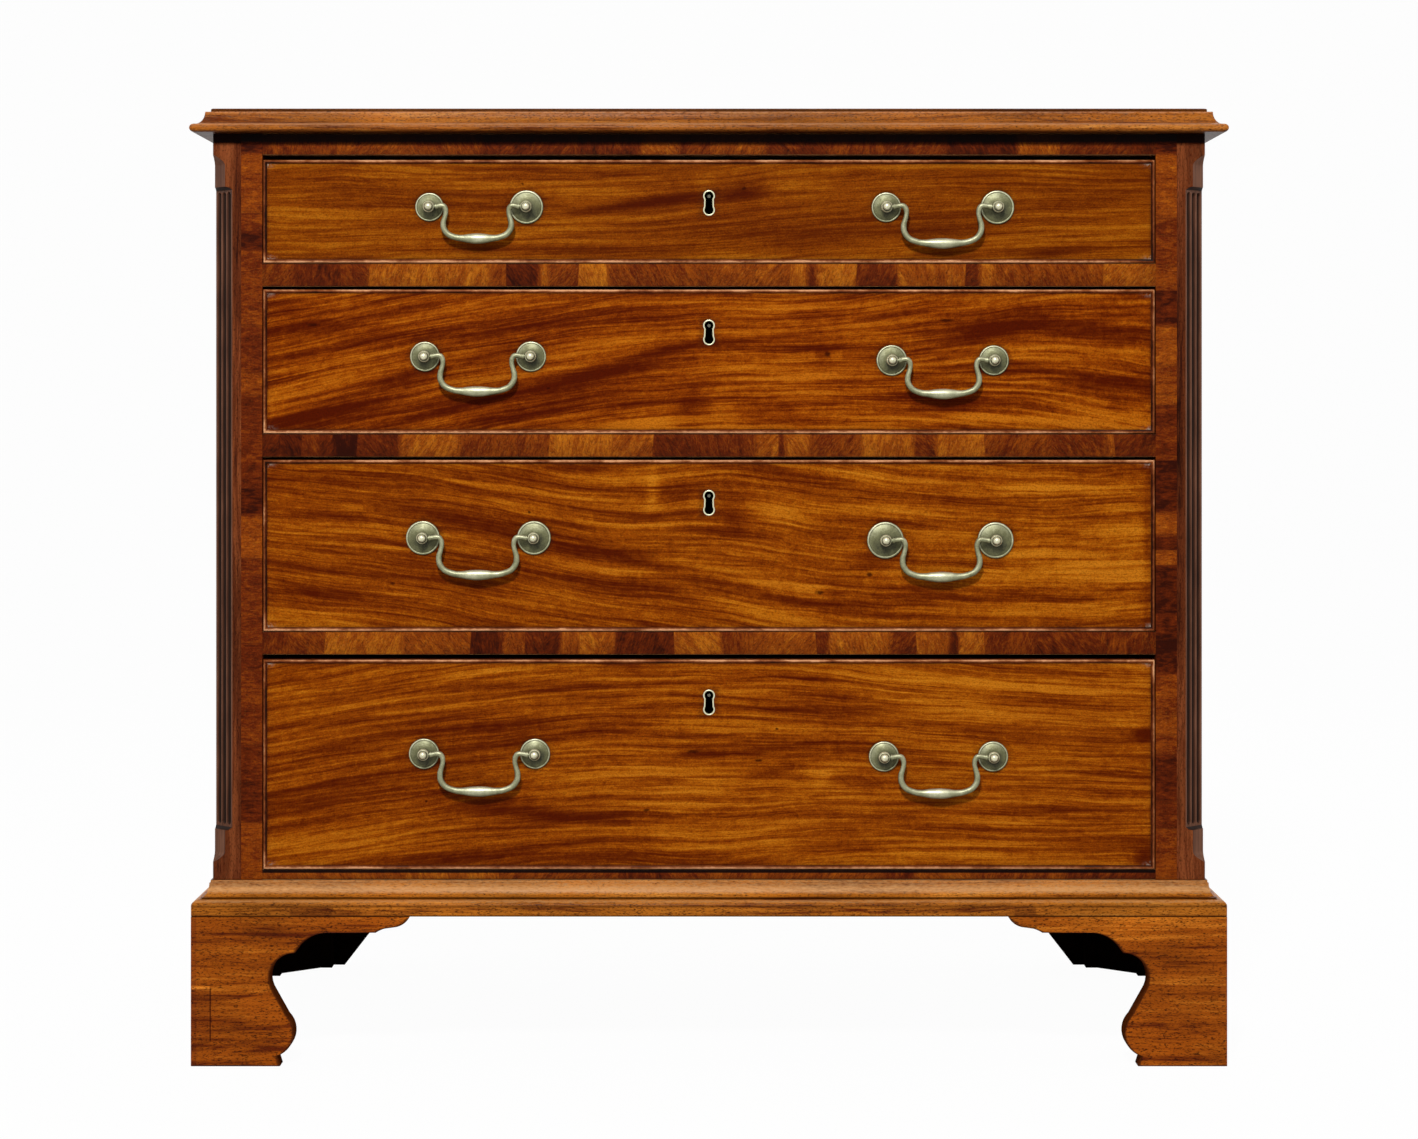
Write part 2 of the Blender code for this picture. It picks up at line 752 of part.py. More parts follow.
def make_lock(name, high):
    """A lock case let into the back of the front, with the keyhole's lining and the drill pin."""
    keyhole = high - KEYHOLE_DROP
    half = LOCK_WIDTH / 2
    lock = block(
        name,
        (-half, LOCK_FRONT, keyhole - LOCK_BELOW_KEYHOLE),
        (half, FRONT_REAR, high - TOUCH),
        "lock_brass",
    )
    liner = prism("liner", keyhole_outline(keyhole, LINER_WALL), "Y", FRONT, LOCK_FRONT + OVERLAP, "lock_brass")
    join(lock, liner)
    void_end = LOCK_FRONT + KEYHOLE_INTO_LOCK
    void = prism("void", keyhole_outline(keyhole, 0.0), "Y", FRONT - OVERLAP, void_end)
    bolt_half = BOLT_WIDTH / 2 + PIVOT_GAP
    bolt_reach = BOLT_THICKNESS / 2 + PIVOT_GAP
    channel = block(
        "channel",
        (-bolt_half, BOLT_MIDDLE - bolt_reach, high - TOUCH - BOLT_HEIGHT - PIVOT_GAP),
        (bolt_half, BOLT_MIDDLE + bolt_reach, high + OVERLAP),
    )
    cut(lock, void, channel)
    centre = (0.0, keyhole + KEYHOLE_CIRCLE_RISE)
    pin = loft("pin", [
        circle(centre, DRILL_PIN_RADIUS, y, BAIL_SIDES)
        for y in (FRONT + DRILL_PIN_SHORT, void_end + OVERLAP)
    ])
    return rounded(join(lock, pin))


def make_bolt(name, high):
    """The bolt, drawn down in its channel with its end level with the lock's top plate."""
    top = high - TOUCH
    return block(
        name,
        (-BOLT_WIDTH / 2, BOLT_MIDDLE - BOLT_THICKNESS / 2, top - BOLT_HEIGHT),
        (BOLT_WIDTH / 2, BOLT_MIDDLE + BOLT_THICKNESS / 2, top),
        "steel",
    )


def make_post_with_rose(name, x, z, rose, inward):
    """A turned post with its round rose, shank and nut, and the hole in its head for the bail's pin."""
    rose_front = FRONT - TOUCH - ROSE_THICKNESS
    drum = HEAD_RADIUS * 0.75
    nut = FRONT_REAR + TOUCH
    profile = (
        (PIVOT_Y - drum - HEAD_RADIUS * 0.55, HEAD_RADIUS * 0.25),
        (PIVOT_Y - drum - HEAD_RADIUS * 0.15, HEAD_RADIUS * 0.62),
        (PIVOT_Y - drum, HEAD_RADIUS * 0.72),
        (PIVOT_Y - drum / 2, HEAD_RADIUS),
        (PIVOT_Y + drum / 2, HEAD_RADIUS),
        (PIVOT_Y + drum, HEAD_RADIUS * 0.66),
        (rose_front, HEAD_RADIUS * 0.72),
        (FRONT - TOUCH - ROSE_THICKNESS / 2, rose),
        (FRONT - TOUCH, rose),
        (FRONT - TOUCH, SHANK_RADIUS),
        (nut, SHANK_RADIUS),
        (nut, NUT_RADIUS),
        (nut + NUT_THICKNESS, NUT_RADIUS),
    )
    post = loft(name, [circle((x, z), radius, y, ROUND_SIDES) for y, radius in profile], "brass")
    turn = 2 * math.pi / BAIL_SIDES
    outline = [
        (PIVOT_Y + HEAD_HOLE_RADIUS * math.cos(turn * i), z + HEAD_HOLE_RADIUS * math.sin(turn * i))
        for i in range(BAIL_SIDES)
    ]
    deep = x + (HEAD_RADIUS - PIN_LENGTH - PIVOT_GAP) * inward
    hole = prism("pin_hole", outline, "X", *sorted((deep, x + (HEAD_RADIUS + OVERLAP) * inward)))
    return rounded(cut(post, hole))


def bail_path(handle):
    """Points and radii from the left pin's end, through the grip, to the right pin's end."""
    scale = handle.spacing / BAIL_PATTERN
    half = handle.spacing / 2
    collar = HEAD_RADIUS + PIVOT_GAP
    left = [
        (HEAD_RADIUS - PIN_LENGTH, 0.0, PIN_RADIUS),
        (collar, 0.0, PIN_RADIUS),
        (collar, 0.0, BAIL_SIDE_RADIUS),
        (collar + PIN_RADIUS, 0.0, BAIL_SIDE_RADIUS),
        (collar + 2 * PIN_RADIUS, 0.0, BAIL_NECK_RADIUS),
    ]
    grip_start = BAIL_CURVE[-3][0]
    grip_middle = BAIL_PATTERN / 2
    for inward, drop, thickening in BAIL_CURVE:
        swell = max(0.0, (inward - grip_start) / (grip_middle - grip_start))
        radius = BAIL_NECK_RADIUS + (BAIL_SIDE_RADIUS - BAIL_NECK_RADIUS) * thickening
        radius += (BAIL_GRIP_RADIUS - BAIL_SIDE_RADIUS) * math.sin(swell * math.pi / 2)
        left.append((inward * scale, drop * scale, radius))
    middle = (half, BAIL_CURVE[-1][1] * scale, BAIL_GRIP_RADIUS)
    right = [(2 * half - inward, drop, radius) for inward, drop, radius in reversed(left)]
    return left + [middle] + right


def make_bail(name, x, z, handle):
    """A round bar along the bail's path, in the upright plane through its two pins."""
    path = bail_path(handle)
    turn = 2 * math.pi / BAIL_SIDES
    rings = []
    for i, (inward, drop, radius) in enumerate(path):
        before, after = path[max(i - 1, 0)], path[min(i + 1, len(path) - 1)]
        along = Vector((after[0] - before[0], 0.0, before[1] - after[1])).normalized()
        across = Vector((-along.z, 0.0, along.x))
        centre = Vector((x - handle.spacing / 2 + inward, PIVOT_Y, z - drop))
        rings.append([
            centre + across * (radius * math.cos(turn * k)) + Vector((0, -radius * math.sin(turn * k), 0))
            for k in range(BAIL_SIDES)
        ])
    return rounded(loft(name, rings, "brass"))


def hang_on(name, place, parent, pieces):
    """Parents pieces to an empty at the place their joint needs, leaving them where they are."""
    empty = bpy.data.objects.new(name, None)
    empty.location = place
    bpy.context.scene.collection.objects.link(empty)
    if parent:
        empty.parent = parent
        empty.location = Vector(place) - Vector(parent.location)
    bpy.context.view_layer.update()
    for piece in pieces:
        piece.parent = empty
        piece.matrix_parent_inverse = empty.matrix_world.inverted()
    return empty


def make_drawer(drawer, low, high):
    """A drawer with its lock and bolt, and its two handles, on the empties that carry their motion."""
    sockets = tail_places(low, high - SIDE_DROP)
    pulls = []
    for handle in drawer.handles:
        middle = handle.offset * (-1 if handle.side == "left" else 1)
        pulls.append((handle, middle, high - handle.drop))
    places = [(x + side * handle.spacing / 2, z) for handle, x, z in pulls for side in (-1, 1)]
    pieces = [
        make_drawer_front(drawer.name + "_front", low, high, sockets, places),
        make_drawer_box(drawer.name + "_box", low, high, sockets),
        make_drawer_bottom(drawer.name + "_bottom", low),
        make_lock(drawer.name + "_lock", high),
    ]
    bails = []
    for handle, x, z in pulls:
        for end, side, rose in (("a", -1, handle.left_rose), ("b", 1, handle.right_rose)):
            name = f"{drawer.name}_{handle.side}_post_{end}"
            pieces.append(make_post_with_rose(name, x + side * handle.spacing / 2, z, rose, -side))
        bail = make_bail(f"{drawer.name}_{handle.side}_bail", x, z, handle)
        bails.append((bail, (x, PIVOT_Y, z)))
    slide = hang_on(drawer.name + "_slide", (0.0, FRONT, low), None, pieces)
    for bail, place in bails:
        hang_on(bail.name + "_pivot", place, slide, [bail])
    bolt = make_bolt(drawer.name + "_bolt", high)
    hang_on(bolt.name + "_guide", (0.0, BOLT_MIDDLE, high), slide, [bolt])


def main():
    clear_scene()
    make_top_board()
    make_back()
    for side, hand in (("left", -1), ("right", 1)):
        make_side("side_" + side, hand)
        make_post("corner_post_" + side, hand)
        make_front_foot("front_foot_" + side, hand)
        make_rear_foot("rear_foot_" + side, hand)
    make_base_moulding()
    rows = bays()
    first = rows[0][1]
    make_floor("case_bottom", first, first - CASE_LOW, BOTTOM_THICKNESS, True, False)
    for number, (_, floor, _, _, _) in zip((3, 2, 1), rows[1:]):
        make_floor(f"divider_{number}", floor, RAIL_THICKNESS, BOARD_THICKNESS, True, True)
    make_floor("case_top", CASE_HIGH, TOP_RAIL_HEIGHT, BOARD_THICKNESS, False, True)
    for drawer, _, low, high, _ in rows:
        make_drawer(drawer, low, high)


main()
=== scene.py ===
"""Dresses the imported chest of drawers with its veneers, mouldings, feet, brass and back boards.

Lengths are in metres. +X is to the right of the front, +Y towards the back and +Z up.
"""

import json
import math

import bmesh
import bpy
import numpy as np
from bpy.props import FloatProperty, FloatVectorProperty, IntProperty, PointerProperty
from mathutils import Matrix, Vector


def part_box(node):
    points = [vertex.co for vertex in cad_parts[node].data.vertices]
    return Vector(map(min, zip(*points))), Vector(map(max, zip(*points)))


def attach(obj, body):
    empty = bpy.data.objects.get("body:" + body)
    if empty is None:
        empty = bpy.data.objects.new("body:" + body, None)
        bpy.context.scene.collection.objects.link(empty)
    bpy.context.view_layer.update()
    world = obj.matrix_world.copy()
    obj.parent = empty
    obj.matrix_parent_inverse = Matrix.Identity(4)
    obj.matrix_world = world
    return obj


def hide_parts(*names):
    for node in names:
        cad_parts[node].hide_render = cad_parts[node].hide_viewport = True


bl_info = {
    "name": "Chest of drawers",
    "version": (1, 0, 0),
    "blender": (4, 5, 0),
    "location": "3D View > Sidebar > Chest",
    "description": "Builds the woods, mouldings, brass and floor of a chest of four long drawers",
    "category": "Object",
}

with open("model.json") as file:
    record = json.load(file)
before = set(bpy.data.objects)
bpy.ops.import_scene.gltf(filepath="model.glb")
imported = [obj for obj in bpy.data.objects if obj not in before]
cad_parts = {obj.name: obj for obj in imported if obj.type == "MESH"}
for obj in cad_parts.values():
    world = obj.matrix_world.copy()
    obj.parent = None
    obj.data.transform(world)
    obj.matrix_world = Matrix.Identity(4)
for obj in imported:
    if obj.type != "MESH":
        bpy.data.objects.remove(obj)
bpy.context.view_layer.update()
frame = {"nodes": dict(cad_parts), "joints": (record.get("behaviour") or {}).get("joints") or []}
IMAGE_WIDTH = 1418
DRAWERS = ("drawer_1", "drawer_2", "drawer_3", "drawer_4")
SIDES = (("left", -1), ("right", 1))


def corners(node):
    """The lowest and highest corner of a CAD node, as arrays."""
    low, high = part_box(node)
    return np.array(low), np.array(high)


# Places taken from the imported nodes
FRONT = corners("divider_1")[0][1]
POST_LOW, POST_HIGH = corners("corner_post_right")
OPENING_HALF = POST_LOW[0]
BACK = corners("back_panel")[1][1]
CASE_HALF = POST_HIGH[0]

# Height of a dividing rail's front. Then a keyhole's middle under the top of its drawer front, the
# centre of its circle above that middle, and the centre of its foot below it.
RAIL_HEIGHT = 0.0203
KEYHOLE_DROP = 0.0380
KEYHOLE_CIRCLE_RISE = 0.0061
KEYHOLE_FOOT_DROP = 0.0062

# Half a bail, first the pin and its collar, then the curved bar: how far in from the post, how far
# below it, and the radius there. The bar is drawn for posts that stand BAIL_PATTERN apart.
BAIL_PATTERN = 0.0970
BAIL_PINS = np.array((
    (0.0018, 0.0, 0.0012),
    (0.0048, 0.0, 0.0013),
    (0.0056, 0.0, 0.0014),
    (0.0058, 0.0, 0.0026),
    (0.0070, 0.0, 0.0026),
    (0.0078, -0.0002, 0.0022),
))
BAIL_STATIONS = np.array((
    (0.0098, -0.0006, 0.0022),
    (0.0128, -0.0009, 0.0023),
    (0.0151, -0.0002, 0.0024),
    (0.0168, 0.0026, 0.0023),
    (0.0171, 0.0064, 0.0021),
    (0.0160, 0.0112, 0.0022),
    (0.0147, 0.0162, 0.0025),
    (0.0153, 0.0222, 0.0026),
    (0.0196, 0.0278, 0.0026),
    (0.0274, 0.0309, 0.0027),
    (0.0340, 0.0317, 0.0031),
    (0.0400, 0.0319, 0.0040),
    (0.0450, 0.0320, 0.0045),
    (0.0485, 0.0320, 0.0046),
))

# Bracket foot's inner edge: share of its length, share of its height, bulge of the arc that leads there
FOOT_EDGE = (
    (0.408, 0.000, 0.00),
    (0.394, 0.067, 0.00),
    (0.440, 0.335, -0.56),
    (0.380, 0.492, 0.00),
    (0.476, 0.758, 0.60),
    (0.492, 0.792, 0.00),
    (0.635, 0.893, 0.26),
    (0.845, 0.893, 0.00),
    (0.885, 0.920, 0.08),
    (0.935, 0.930, 0.00),
    (1.000, 1.000, -0.24),
)
# Share of the height up to which the inner edge's partners climb the corner
FOOT_KNEE = 0.758
# Where the slanted board of a rear foot ends, in from the side: on the floor and under the case
REAR_FOOT_BASE = 0.0765
REAR_FOOT_TOP = 0.1785
# Block behind a rear foot: how far it comes forward along the side, and its two other corners as
# distance in from the side and forward from the back
REAR_BLOCK_REACH = 0.0700
REAR_BLOCK_CORNERS = ((0.0542, 0.0397), (0.0660, 0.0397))

# Edge of the top from below: half-round nose, cove, step and fillet
TOP_NOSE_RADIUS = 0.0037
TOP_COVE_OUT = 0.0083
TOP_COVE_DROP = 0.0113
TOP_STEP = 0.0045
TOP_FILLET = 0.0035

# How the stripes of each drawer's veneer rise from left to right, in mm at nine even stations: along
# its lower and along its upper edge
FLOWS = {
    "drawer_1": ((0, 2, 4, 8, 14, 22, 30, 36, 40), (0, 0, -2, -2, 4, 14, 18, 16, 12)),
    "drawer_2": ((0, 20, 38, 54, 62, 64, 60, 52, 42), (0, 18, 34, 48, 56, 58, 70, 84, 86)),
    "drawer_3": ((0, -12, -28, -44, -58, -70, -74, -74, -72), (0, -8, -20, -34, -28, -34, -42, -46, -44)),
    "drawer_4": ((0, 14, 26, 32, 30, 38, 40, 38, 38), (0, 16, 28, 34, 36, 30, 20, 12, 6)),
}

# Broad dark and light figures of each veneer: middle along the drawer and height over its bottom edge,
# half the length, half the height, slope, and how much lighter, all lengths in mm
FIGURES = {
    "drawer_1": (
        (-35, 56, 42, 6, 0.1, -0.9), (30, 61, 20, 6, 0.1, -0.9), (-92, 48, 50, 4, 0.1, -0.5),
        (-300, 68, 70, 6, 0.02, -0.35), (-130, 12, 80, 4, 0.02, -0.4), (100, 56, 60, 3, 0.15, -0.35),
        (330, 55, 60, 5, 0.06, -0.45), (310, 10, 32, 4, 0.1, -0.7), (100, 15, 60, 8, 0.08, -0.3),
        (0, 3, 400, 3, 0, 0.35), (-370, 45, 40, 22, 0, 0.25), (-5, 72, 12, 6, 0, 0.4),
        (60, 76, 60, 5, 0.02, 0.2), (200, 30, 40, 12, 0, -0.25), (90, 40, 190, 60, 0, -0.22),
    ),
    "drawer_2": (
        (-345, 18, 62, 6, 0.22, -1.1), (-245, 17, 60, 5, 0.22, -0.8), (-190, 12, 40, 6, 0.1, -0.7),
        (-105, 51, 66, 8, 0.24, -1.2), (-35, 74, 50, 4, 0.24, -0.6), (-370, 92, 50, 5, 0.1, -0.8),
        (-300, 101, 60, 4, 0.2, -0.5), (-200, 86, 60, 4, 0.2, -0.5), (-262, 52, 34, 6, 0.24, -0.6),
        (248, 90, 46, 8, 0.14, -1.1), (330, 94, 52, 5, -0.06, -0.6), (350, 42, 52, 8, -0.05, -0.8),
        (100, 70, 6, 12, 0, -0.45), (60, 86, 60, 4, 0.1, -0.6), (100, 103, 100, 4, 0.02, -0.4),
        (-18, 22, 14, 16, 0.5, -0.5), (190, 30, 44, 8, 0, -0.5), (5, 108, 44, 8, 0, 0.5),
        (16, 20, 16, 8, 0, 0.6), (-60, 9, 34, 6, 0.12, 0.5), (290, 14, 90, 8, 0, 0.4),
        (110, 113, 60, 5, 0, 0.4), (-330, 60, 60, 10, 0.16, 0.3), (60, 46, 60, 5, 0.12, 0.35),
        (320, 70, 60, 6, -0.02, 0.35), (-380, 112, 20, 8, 0, -0.6), (-210, 60, 190, 90, 0, -0.24),
    ),
    "drawer_3": (
        (-102, 68, 60, 5, -0.14, -0.8), (0, 45, 60, 5, -0.22, -0.9), (92, 24, 60, 4, -0.14, -0.7),
        (200, 12, 90, 4, -0.03, -0.6), (-30, 118, 22, 12, 0, -0.55), (20, 105, 15, 18, 0, -0.65),
        (-222, 98, 70, 6, -0.2, -0.8), (-340, 104, 60, 5, -0.1, -0.7), (-250, 130, 60, 4, -0.15, -0.5),
        (-150, 117, 60, 4, -0.1, -0.4), (-130, 143, 54, 5, 0, -0.7), (-350, 34, 60, 5, -0.15, -0.7),
        (-150, 18, 80, 4, -0.2, -0.5), (-250, 46, 90, 3, -0.16, -0.4), (200, 70, 60, 4, 0.03, -0.3),
        (142, 60, 20, 14, 0.3, -0.45), (150, 95, 44, 5, 0, -0.4), (360, 70, 44, 4, -0.08, -0.5),
        (350, 48, 56, 15, 0, 0.4), (330, 120, 66, 15, 0, 0.3), (62, 100, 22, 15, 0, 0.4),
        (-50, 125, 6, 16, 0, 0.7), (112, 33, 10, 5, 0, -0.5), (-100, 52, 70, 6, -0.16, 0.35),
        (-310, 76, 70, 6, -0.12, 0.3), (40, 68, 60, 5, -0.12, 0.3), (388, 75, 4, 90, 0, -0.5),
        (-220, 75, 200, 100, 0, -0.2),
    ),
    "drawer_4": (
        (-330, 150, 80, 3, 0.15, -0.6), (-200, 108, 60, 4, 0.1, -0.6), (-205, 126, 80, 3, 0.1, -0.5),
        (-170, 51, 44, 6, -0.06, -0.7), (-115, 45, 60, 5, -0.05, -0.7), (-220, 8, 64, 5, 0.02, -0.6),
        (-6, 103, 20, 4, 0.06, -0.8), (58, 107, 40, 3, 0.08, -0.7), (60, 87, 34, 6, 0.25, -0.7),
        (38, 70, 36, 3, 0.15, -0.5), (110, 145, 60, 4, -0.05, -0.5), (142, 75, 32, 4, 0, -0.6),
        (150, 45, 44, 6, 0, -0.5), (330, 141, 80, 4, -0.12, -0.4), (386, 120, 8, 6, 0, -1.2),
        (386, 12, 10, 9, 0, -1), (-85, 95, 60, 12, 0, 0.35), (235, 160, 64, 6, 0, 0.4),
        (-300, 20, 64, 10, 0, 0.2), (-320, 112, 70, 4, 0.14, -0.4), (100, 82, 10, 6, 0, 0.5),
        (-30, 66, 60, 8, 0, 0.25), (20, 10, 90, 4, 0.03, -0.4), (-350, 72, 60, 4, 0.14, -0.4),
        (-280, 90, 130, 110, 0, -0.3),
    ),
}
# Where the tones of a veneer stand on the scale of its stripes
VENEER_STOPS = {"dark": 0.35, "deep": 0.435, "mid": 0.50, "gold": 0.555, "light": 0.62}
# Painted shadow and old wax under a bail: its middle's distance under the bail, half length and half height
BAIL_SHADOW_DROP, BAIL_SHADOW_HALF_LENGTH, BAIL_SHADOW_HALF_HEIGHT = 0.0035, 0.030, 0.0085
# Each veneer's place in the noise, contrast of its stripes, redness and brightness
TEMPERS = {
    "drawer_1": (1.0, 0.84, -0.03, 0.95), "drawer_2": (7.0, 1.30, 0.13, 0.90),
    "drawer_3": (12.0, 1.15, -0.01, 1.11), "drawer_4": (19.0, 1.12, 0.00, 1.09),
}
# Small knots and bruises: middle and height as above, half length and half height, all in mm
MARKS = {
    "drawer_1": ((31, 66, 2.0, 1.6), (-165, 70, 1.4, 0.9), (182, 20, 1.2, 1.0)),
    "drawer_2": ((105, 70, 3.0, 2.6), (-142, 40, 1.8, 1.2), (-350, 96, 6.0, 1.6), (210, 100, 7.0, 1.4)),
    "drawer_3": (
        (142, 50, 3.0, 2.2), (267, 88, 2.0, 2.6), (-159, 105, 1.6, 1.4), (-280, 42, 2.2, 1.4),
        (98, 34, 4.0, 2.0),
    ),
    "drawer_4": (
        (-55, 52, 3.2, 1.4), (44, 96, 3.4, 1.6), (-14, 104, 6.0, 1.8), (60, 124, 1.6, 1.2),
        (-250, 60, 1.4, 1.2),
    ),
}

# Crossbanding: where each patch of veneer ends, as a share of the length, and its tone from dark to light
BANDS = {
    "case_top": (
        (0.093, 0.55), (0.165, 0.66), (0.246, 0.58), (0.265, 0.3), (0.345, 0.38), (0.424, 0.4),
        (0.466, 0.8), (0.501, 0.48), (0.565, 0.68), (0.633, 0.42), (0.697, 0.5), (0.766, 0.52),
        (0.845, 0.26), (0.893, 0.84), (0.97, 0.48), (1, 0.4),
    ),
    "divider_1": (
        (0.037, 0.4), (0.0875, 0.25), (0.119, 0.38), (0.2545, 0.8), (0.273, 0.55), (0.31, 0.15),
        (0.3195, 0.8), (0.354, 0.5), (0.387, 0.92), (0.501, 0.48), (0.591, 0.62), (0.61, 0.85),
        (0.62, 0.3), (0.665, 0.88), (0.7105, 0.3), (0.724, 0.75), (0.787, 0.66), (0.803, 0.3),
        (0.819, 0.92), (0.941, 0.52), (1, 0.8),
    ),
    "divider_2": (
        (0.02, 0.22), (0.044, 0.15), (0.064, 0.38), (0.0795, 0.22), (0.106, 0.04), (0.154, 0.28),
        (0.22, 0.76), (0.321, 0.5), (0.329, 0.8), (0.392, 0.82), (0.4375, 0.66), (0.48, 0.3),
        (0.5515, 0.36), (0.578, 0.72), (0.586, 0.3), (0.6125, 0.8), (0.671, 0.48), (0.729, 0.78),
        (0.7555, 0.45), (0.8085, 0.82), (0.883, 0.48), (0.944, 0.4), (0.954, 0.62), (1, 0.28),
    ),
    "divider_3": (
        (0.029, 0.38), (0.07, 0.46), (0.094, 0.84), (0.156, 0.8), (0.233, 0.62), (0.268, 0.18),
        (0.276, 0.6), (0.294, 0.5), (0.3155, 0.3), (0.334, 0.18), (0.355, 0.68), (0.3765, 0.78),
        (0.395, 0.6), (0.461, 0.22), (0.514, 0.8), (0.549, 0.46), (0.62, 0.68), (0.6335, 0.28),
        (0.7025, 0.76), (0.732, 0.34), (0.769, 0.72), (0.779, 0.25), (0.8085, 0.8), (0.867, 0.38),
        (0.9385, 0.3), (1, 0.38),
    ),
    "case_bottom": (
        (0.16, 0.4), (0.265, 0.52), (0.4, 0.26), (0.45, 0.1), (0.501, 0.28), (0.697, 0.36), (0.729, 0.12),
        (0.793, 0.42), (0.9, 0.26), (1, 0.12),
    ),
}
# How much lighter all patches of a rail are; the top rail is darker partly as painted shade under the top
BAND_SHIFTS = {"case_top": -0.10, "case_bottom": 0.17}
# The same for the stiles, from the top down; the dark first patch is partly painted shade under the top
STILE_PATCHES = {
    "left": (
        (0.024, 0.15), (0.102, 0.58), (0.125, 0.42), (0.148, 0.06), (0.2455, 0.48), (0.306, 0.36),
        (0.3355, 0.55), (0.455, 0.3), (0.489, 0.06), (0.5445, 0.66), (0.6535, 0.4), (0.688, 0.34),
        (0.784, 0.44), (0.855, 0.28), (0.883, 0.16), (1, 0.55),
    ),
    "right": (
        (0.025, 0.15), (0.108, 0.64), (0.13, 0.38), (0.169, 0.45), (0.201, 0.58), (0.2455, 0.12),
        (0.297, 0.68), (0.335, 0.55), (0.348, 0.72), (0.374, 0.24), (0.419, 0.32), (0.4855, 0.1),
        (0.515, 0.7), (0.534, 0.2), (0.5535, 0.68), (0.611, 0.12), (0.65, 0.2), (0.6625, -0.1),
        (0.691, 0.08), (0.746, 0.5), (0.7715, 0.66), (0.797, 0.46), (0.855, 0.18), (0.891, 0.36),
        (1, 0.52),
    ),
}
# Darker or lighter pieces let into solid wood, and a strip of painted shade on the feet: middle in X and Z,
# half length, half height, and tint
TOP_MARKS = ((-0.3360, 0.8405, 0.0020, 0.0012, (0.25, 0.22, 0.20)),)
MOULDING_MARKS = (
    (-0.3500, 0.1325, 0.0185, 0.0075, (0.62, 0.55, 0.60)),
    (0.2780, 0.1325, 0.0095, 0.0075, (0.60, 0.55, 0.62)),
)
FOOT_MARKS = (
    (-0.4490, 0.0450, 0.0098, 0.0235, (0.80, 0.76, 0.90)),
    (-0.4540, 0.0650, 0.0032, 0.0660, (0.78, 0.70, 0.85)),
    # Painted shade along the feet's bottom edge, where they stand on the floor
    (0.0, 0.0000, 0.5000, 0.0012, (0.35, 0.33, 0.36)),
    (-0.4490, 0.0695, 0.0098, 0.0012, (1.9, 2.3, 3.2)),
    (-0.4385, 0.0450, 0.0007, 0.0235, (0.30, 0.25, 0.30)),
    (-0.4400, 0.0400, 0.0300, 0.0042, (0.80, 0.72, 0.70)),
)


def linear(red, green, blue):
    """A linear colour from screen values of 0 to 255."""
    screen = np.array((red, green, blue)) / 255
    return tuple(np.where(screen <= 0.04045, screen / 12.92, ((screen + 0.055) / 1.055) ** 2.4))


def colour_setting(name, description, red, green, blue):
    return FloatVectorProperty(
        name=name, description=description, subtype="COLOR", size=3, min=0.0, max=1.0,
        default=linear(red, green, blue),
    )


def length_setting(name, description, default):
    return FloatProperty(name=name, description=description, unit="LENGTH", min=0.0, default=default)


class ChestSizes(bpy.types.PropertyGroup):
    """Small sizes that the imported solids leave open."""

    veneer_proud: length_setting("Veneer", "How far a veneer stands over its ground", 0.0003)
    bead_radius: length_setting("Cockbead", "Radius of the cockbead's round", 0.0017)
    corner_wear: length_setting("Corner wear", "Radius to which outer corners are worn", 0.0016)
    foot_thickness: length_setting("Foot boards", "Thickness of the feet's brackets", 0.0180)
    glue_block: length_setting("Glue blocks", "Side of the blocks behind the feet", 0.0370)
    flute_radius: length_setting("Flutes", "Radius of the corner flutes", 0.0026)
    flute_pitch: length_setting("Flute pitch", "Distance between the middles of two flutes", 0.0072)
    flute_depth: length_setting("Flute depth", "Depth of the corner flutes", 0.0022)
    back_boards: IntProperty(name="Back boards", description="Number of back boards", default=5, min=1)


class ChestColours(bpy.types.PropertyGroup):
    """Colours of the woods and metals."""

    veneer_dark: colour_setting("Veneer stripe", "Darkest stripe of the figured veneer", 75, 19, 0)
    veneer_deep: colour_setting("Veneer shade", "Shaded stripe of the figured veneer", 104, 40, 1)
    veneer_mid: colour_setting("Veneer ground", "Ground colour of the figured veneer", 135, 62, 3)
    veneer_gold: colour_setting("Veneer gold", "Golden stripe of the figured veneer", 161, 87, 9)
    veneer_light: colour_setting("Veneer light", "Lightest stripe of the figured veneer", 182, 108, 19)
    solid_dark: colour_setting("Mahogany dark", "Dark grain of the solid mahogany", 92, 32, 4)
    solid_mid: colour_setting("Mahogany", "Ground colour of the solid mahogany", 156, 76, 10)
    solid_light: colour_setting("Mahogany light", "Light grain of the solid mahogany", 200, 114, 28)
    waxed_dark: colour_setting("Waxed corner", "Dirt and old wax in the fluted corners", 32, 20, 15)
    waxed_light: colour_setting("Worn corner", "Worn surface of the fluted corners", 122, 82, 62)
    oak: colour_setting("Oak", "Drawer linings", 186, 140, 94)
    pine: colour_setting("Pine", "Back and dust boards", 158, 112, 66)
    patina: colour_setting("Patina", "Dull surface of the brass", 100, 99, 66)
    brass: colour_setting("Brass", "Rubbed surface of the brass", 212, 209, 176)
    steel: colour_setting("Steel", "Bolts and nails", 96, 92, 88)


# Arrays to meshes


def grid_faces(rows, columns, round_rows=False, round_columns=False):
    """Corner numbers of the quads between neighbours in a grid of rows by columns points."""
    i = np.arange(rows if round_rows else rows - 1)[:, None]
    j = np.arange(columns if round_columns else columns - 1)[None, :]
    below, beside = (i + 1) % rows, (j + 1) % columns
    quads = np.stack(np.broadcast_arrays(
        i * columns + j, i * columns + beside, below * columns + beside, below * columns + j,
    ), axis=-1)
    return quads.reshape(-1, 4).tolist()


def loft(rings):
    """A skin through rings (rows, columns, 3), closed round each ring and capped at both ends."""
    rows, columns = rings.shape[:2]
    faces = grid_faces(rows, columns, round_columns=True)
    faces += [list(range(columns)), list(range((rows - 1) * columns, rows * columns))]
    return rings.reshape(-1, 3), faces


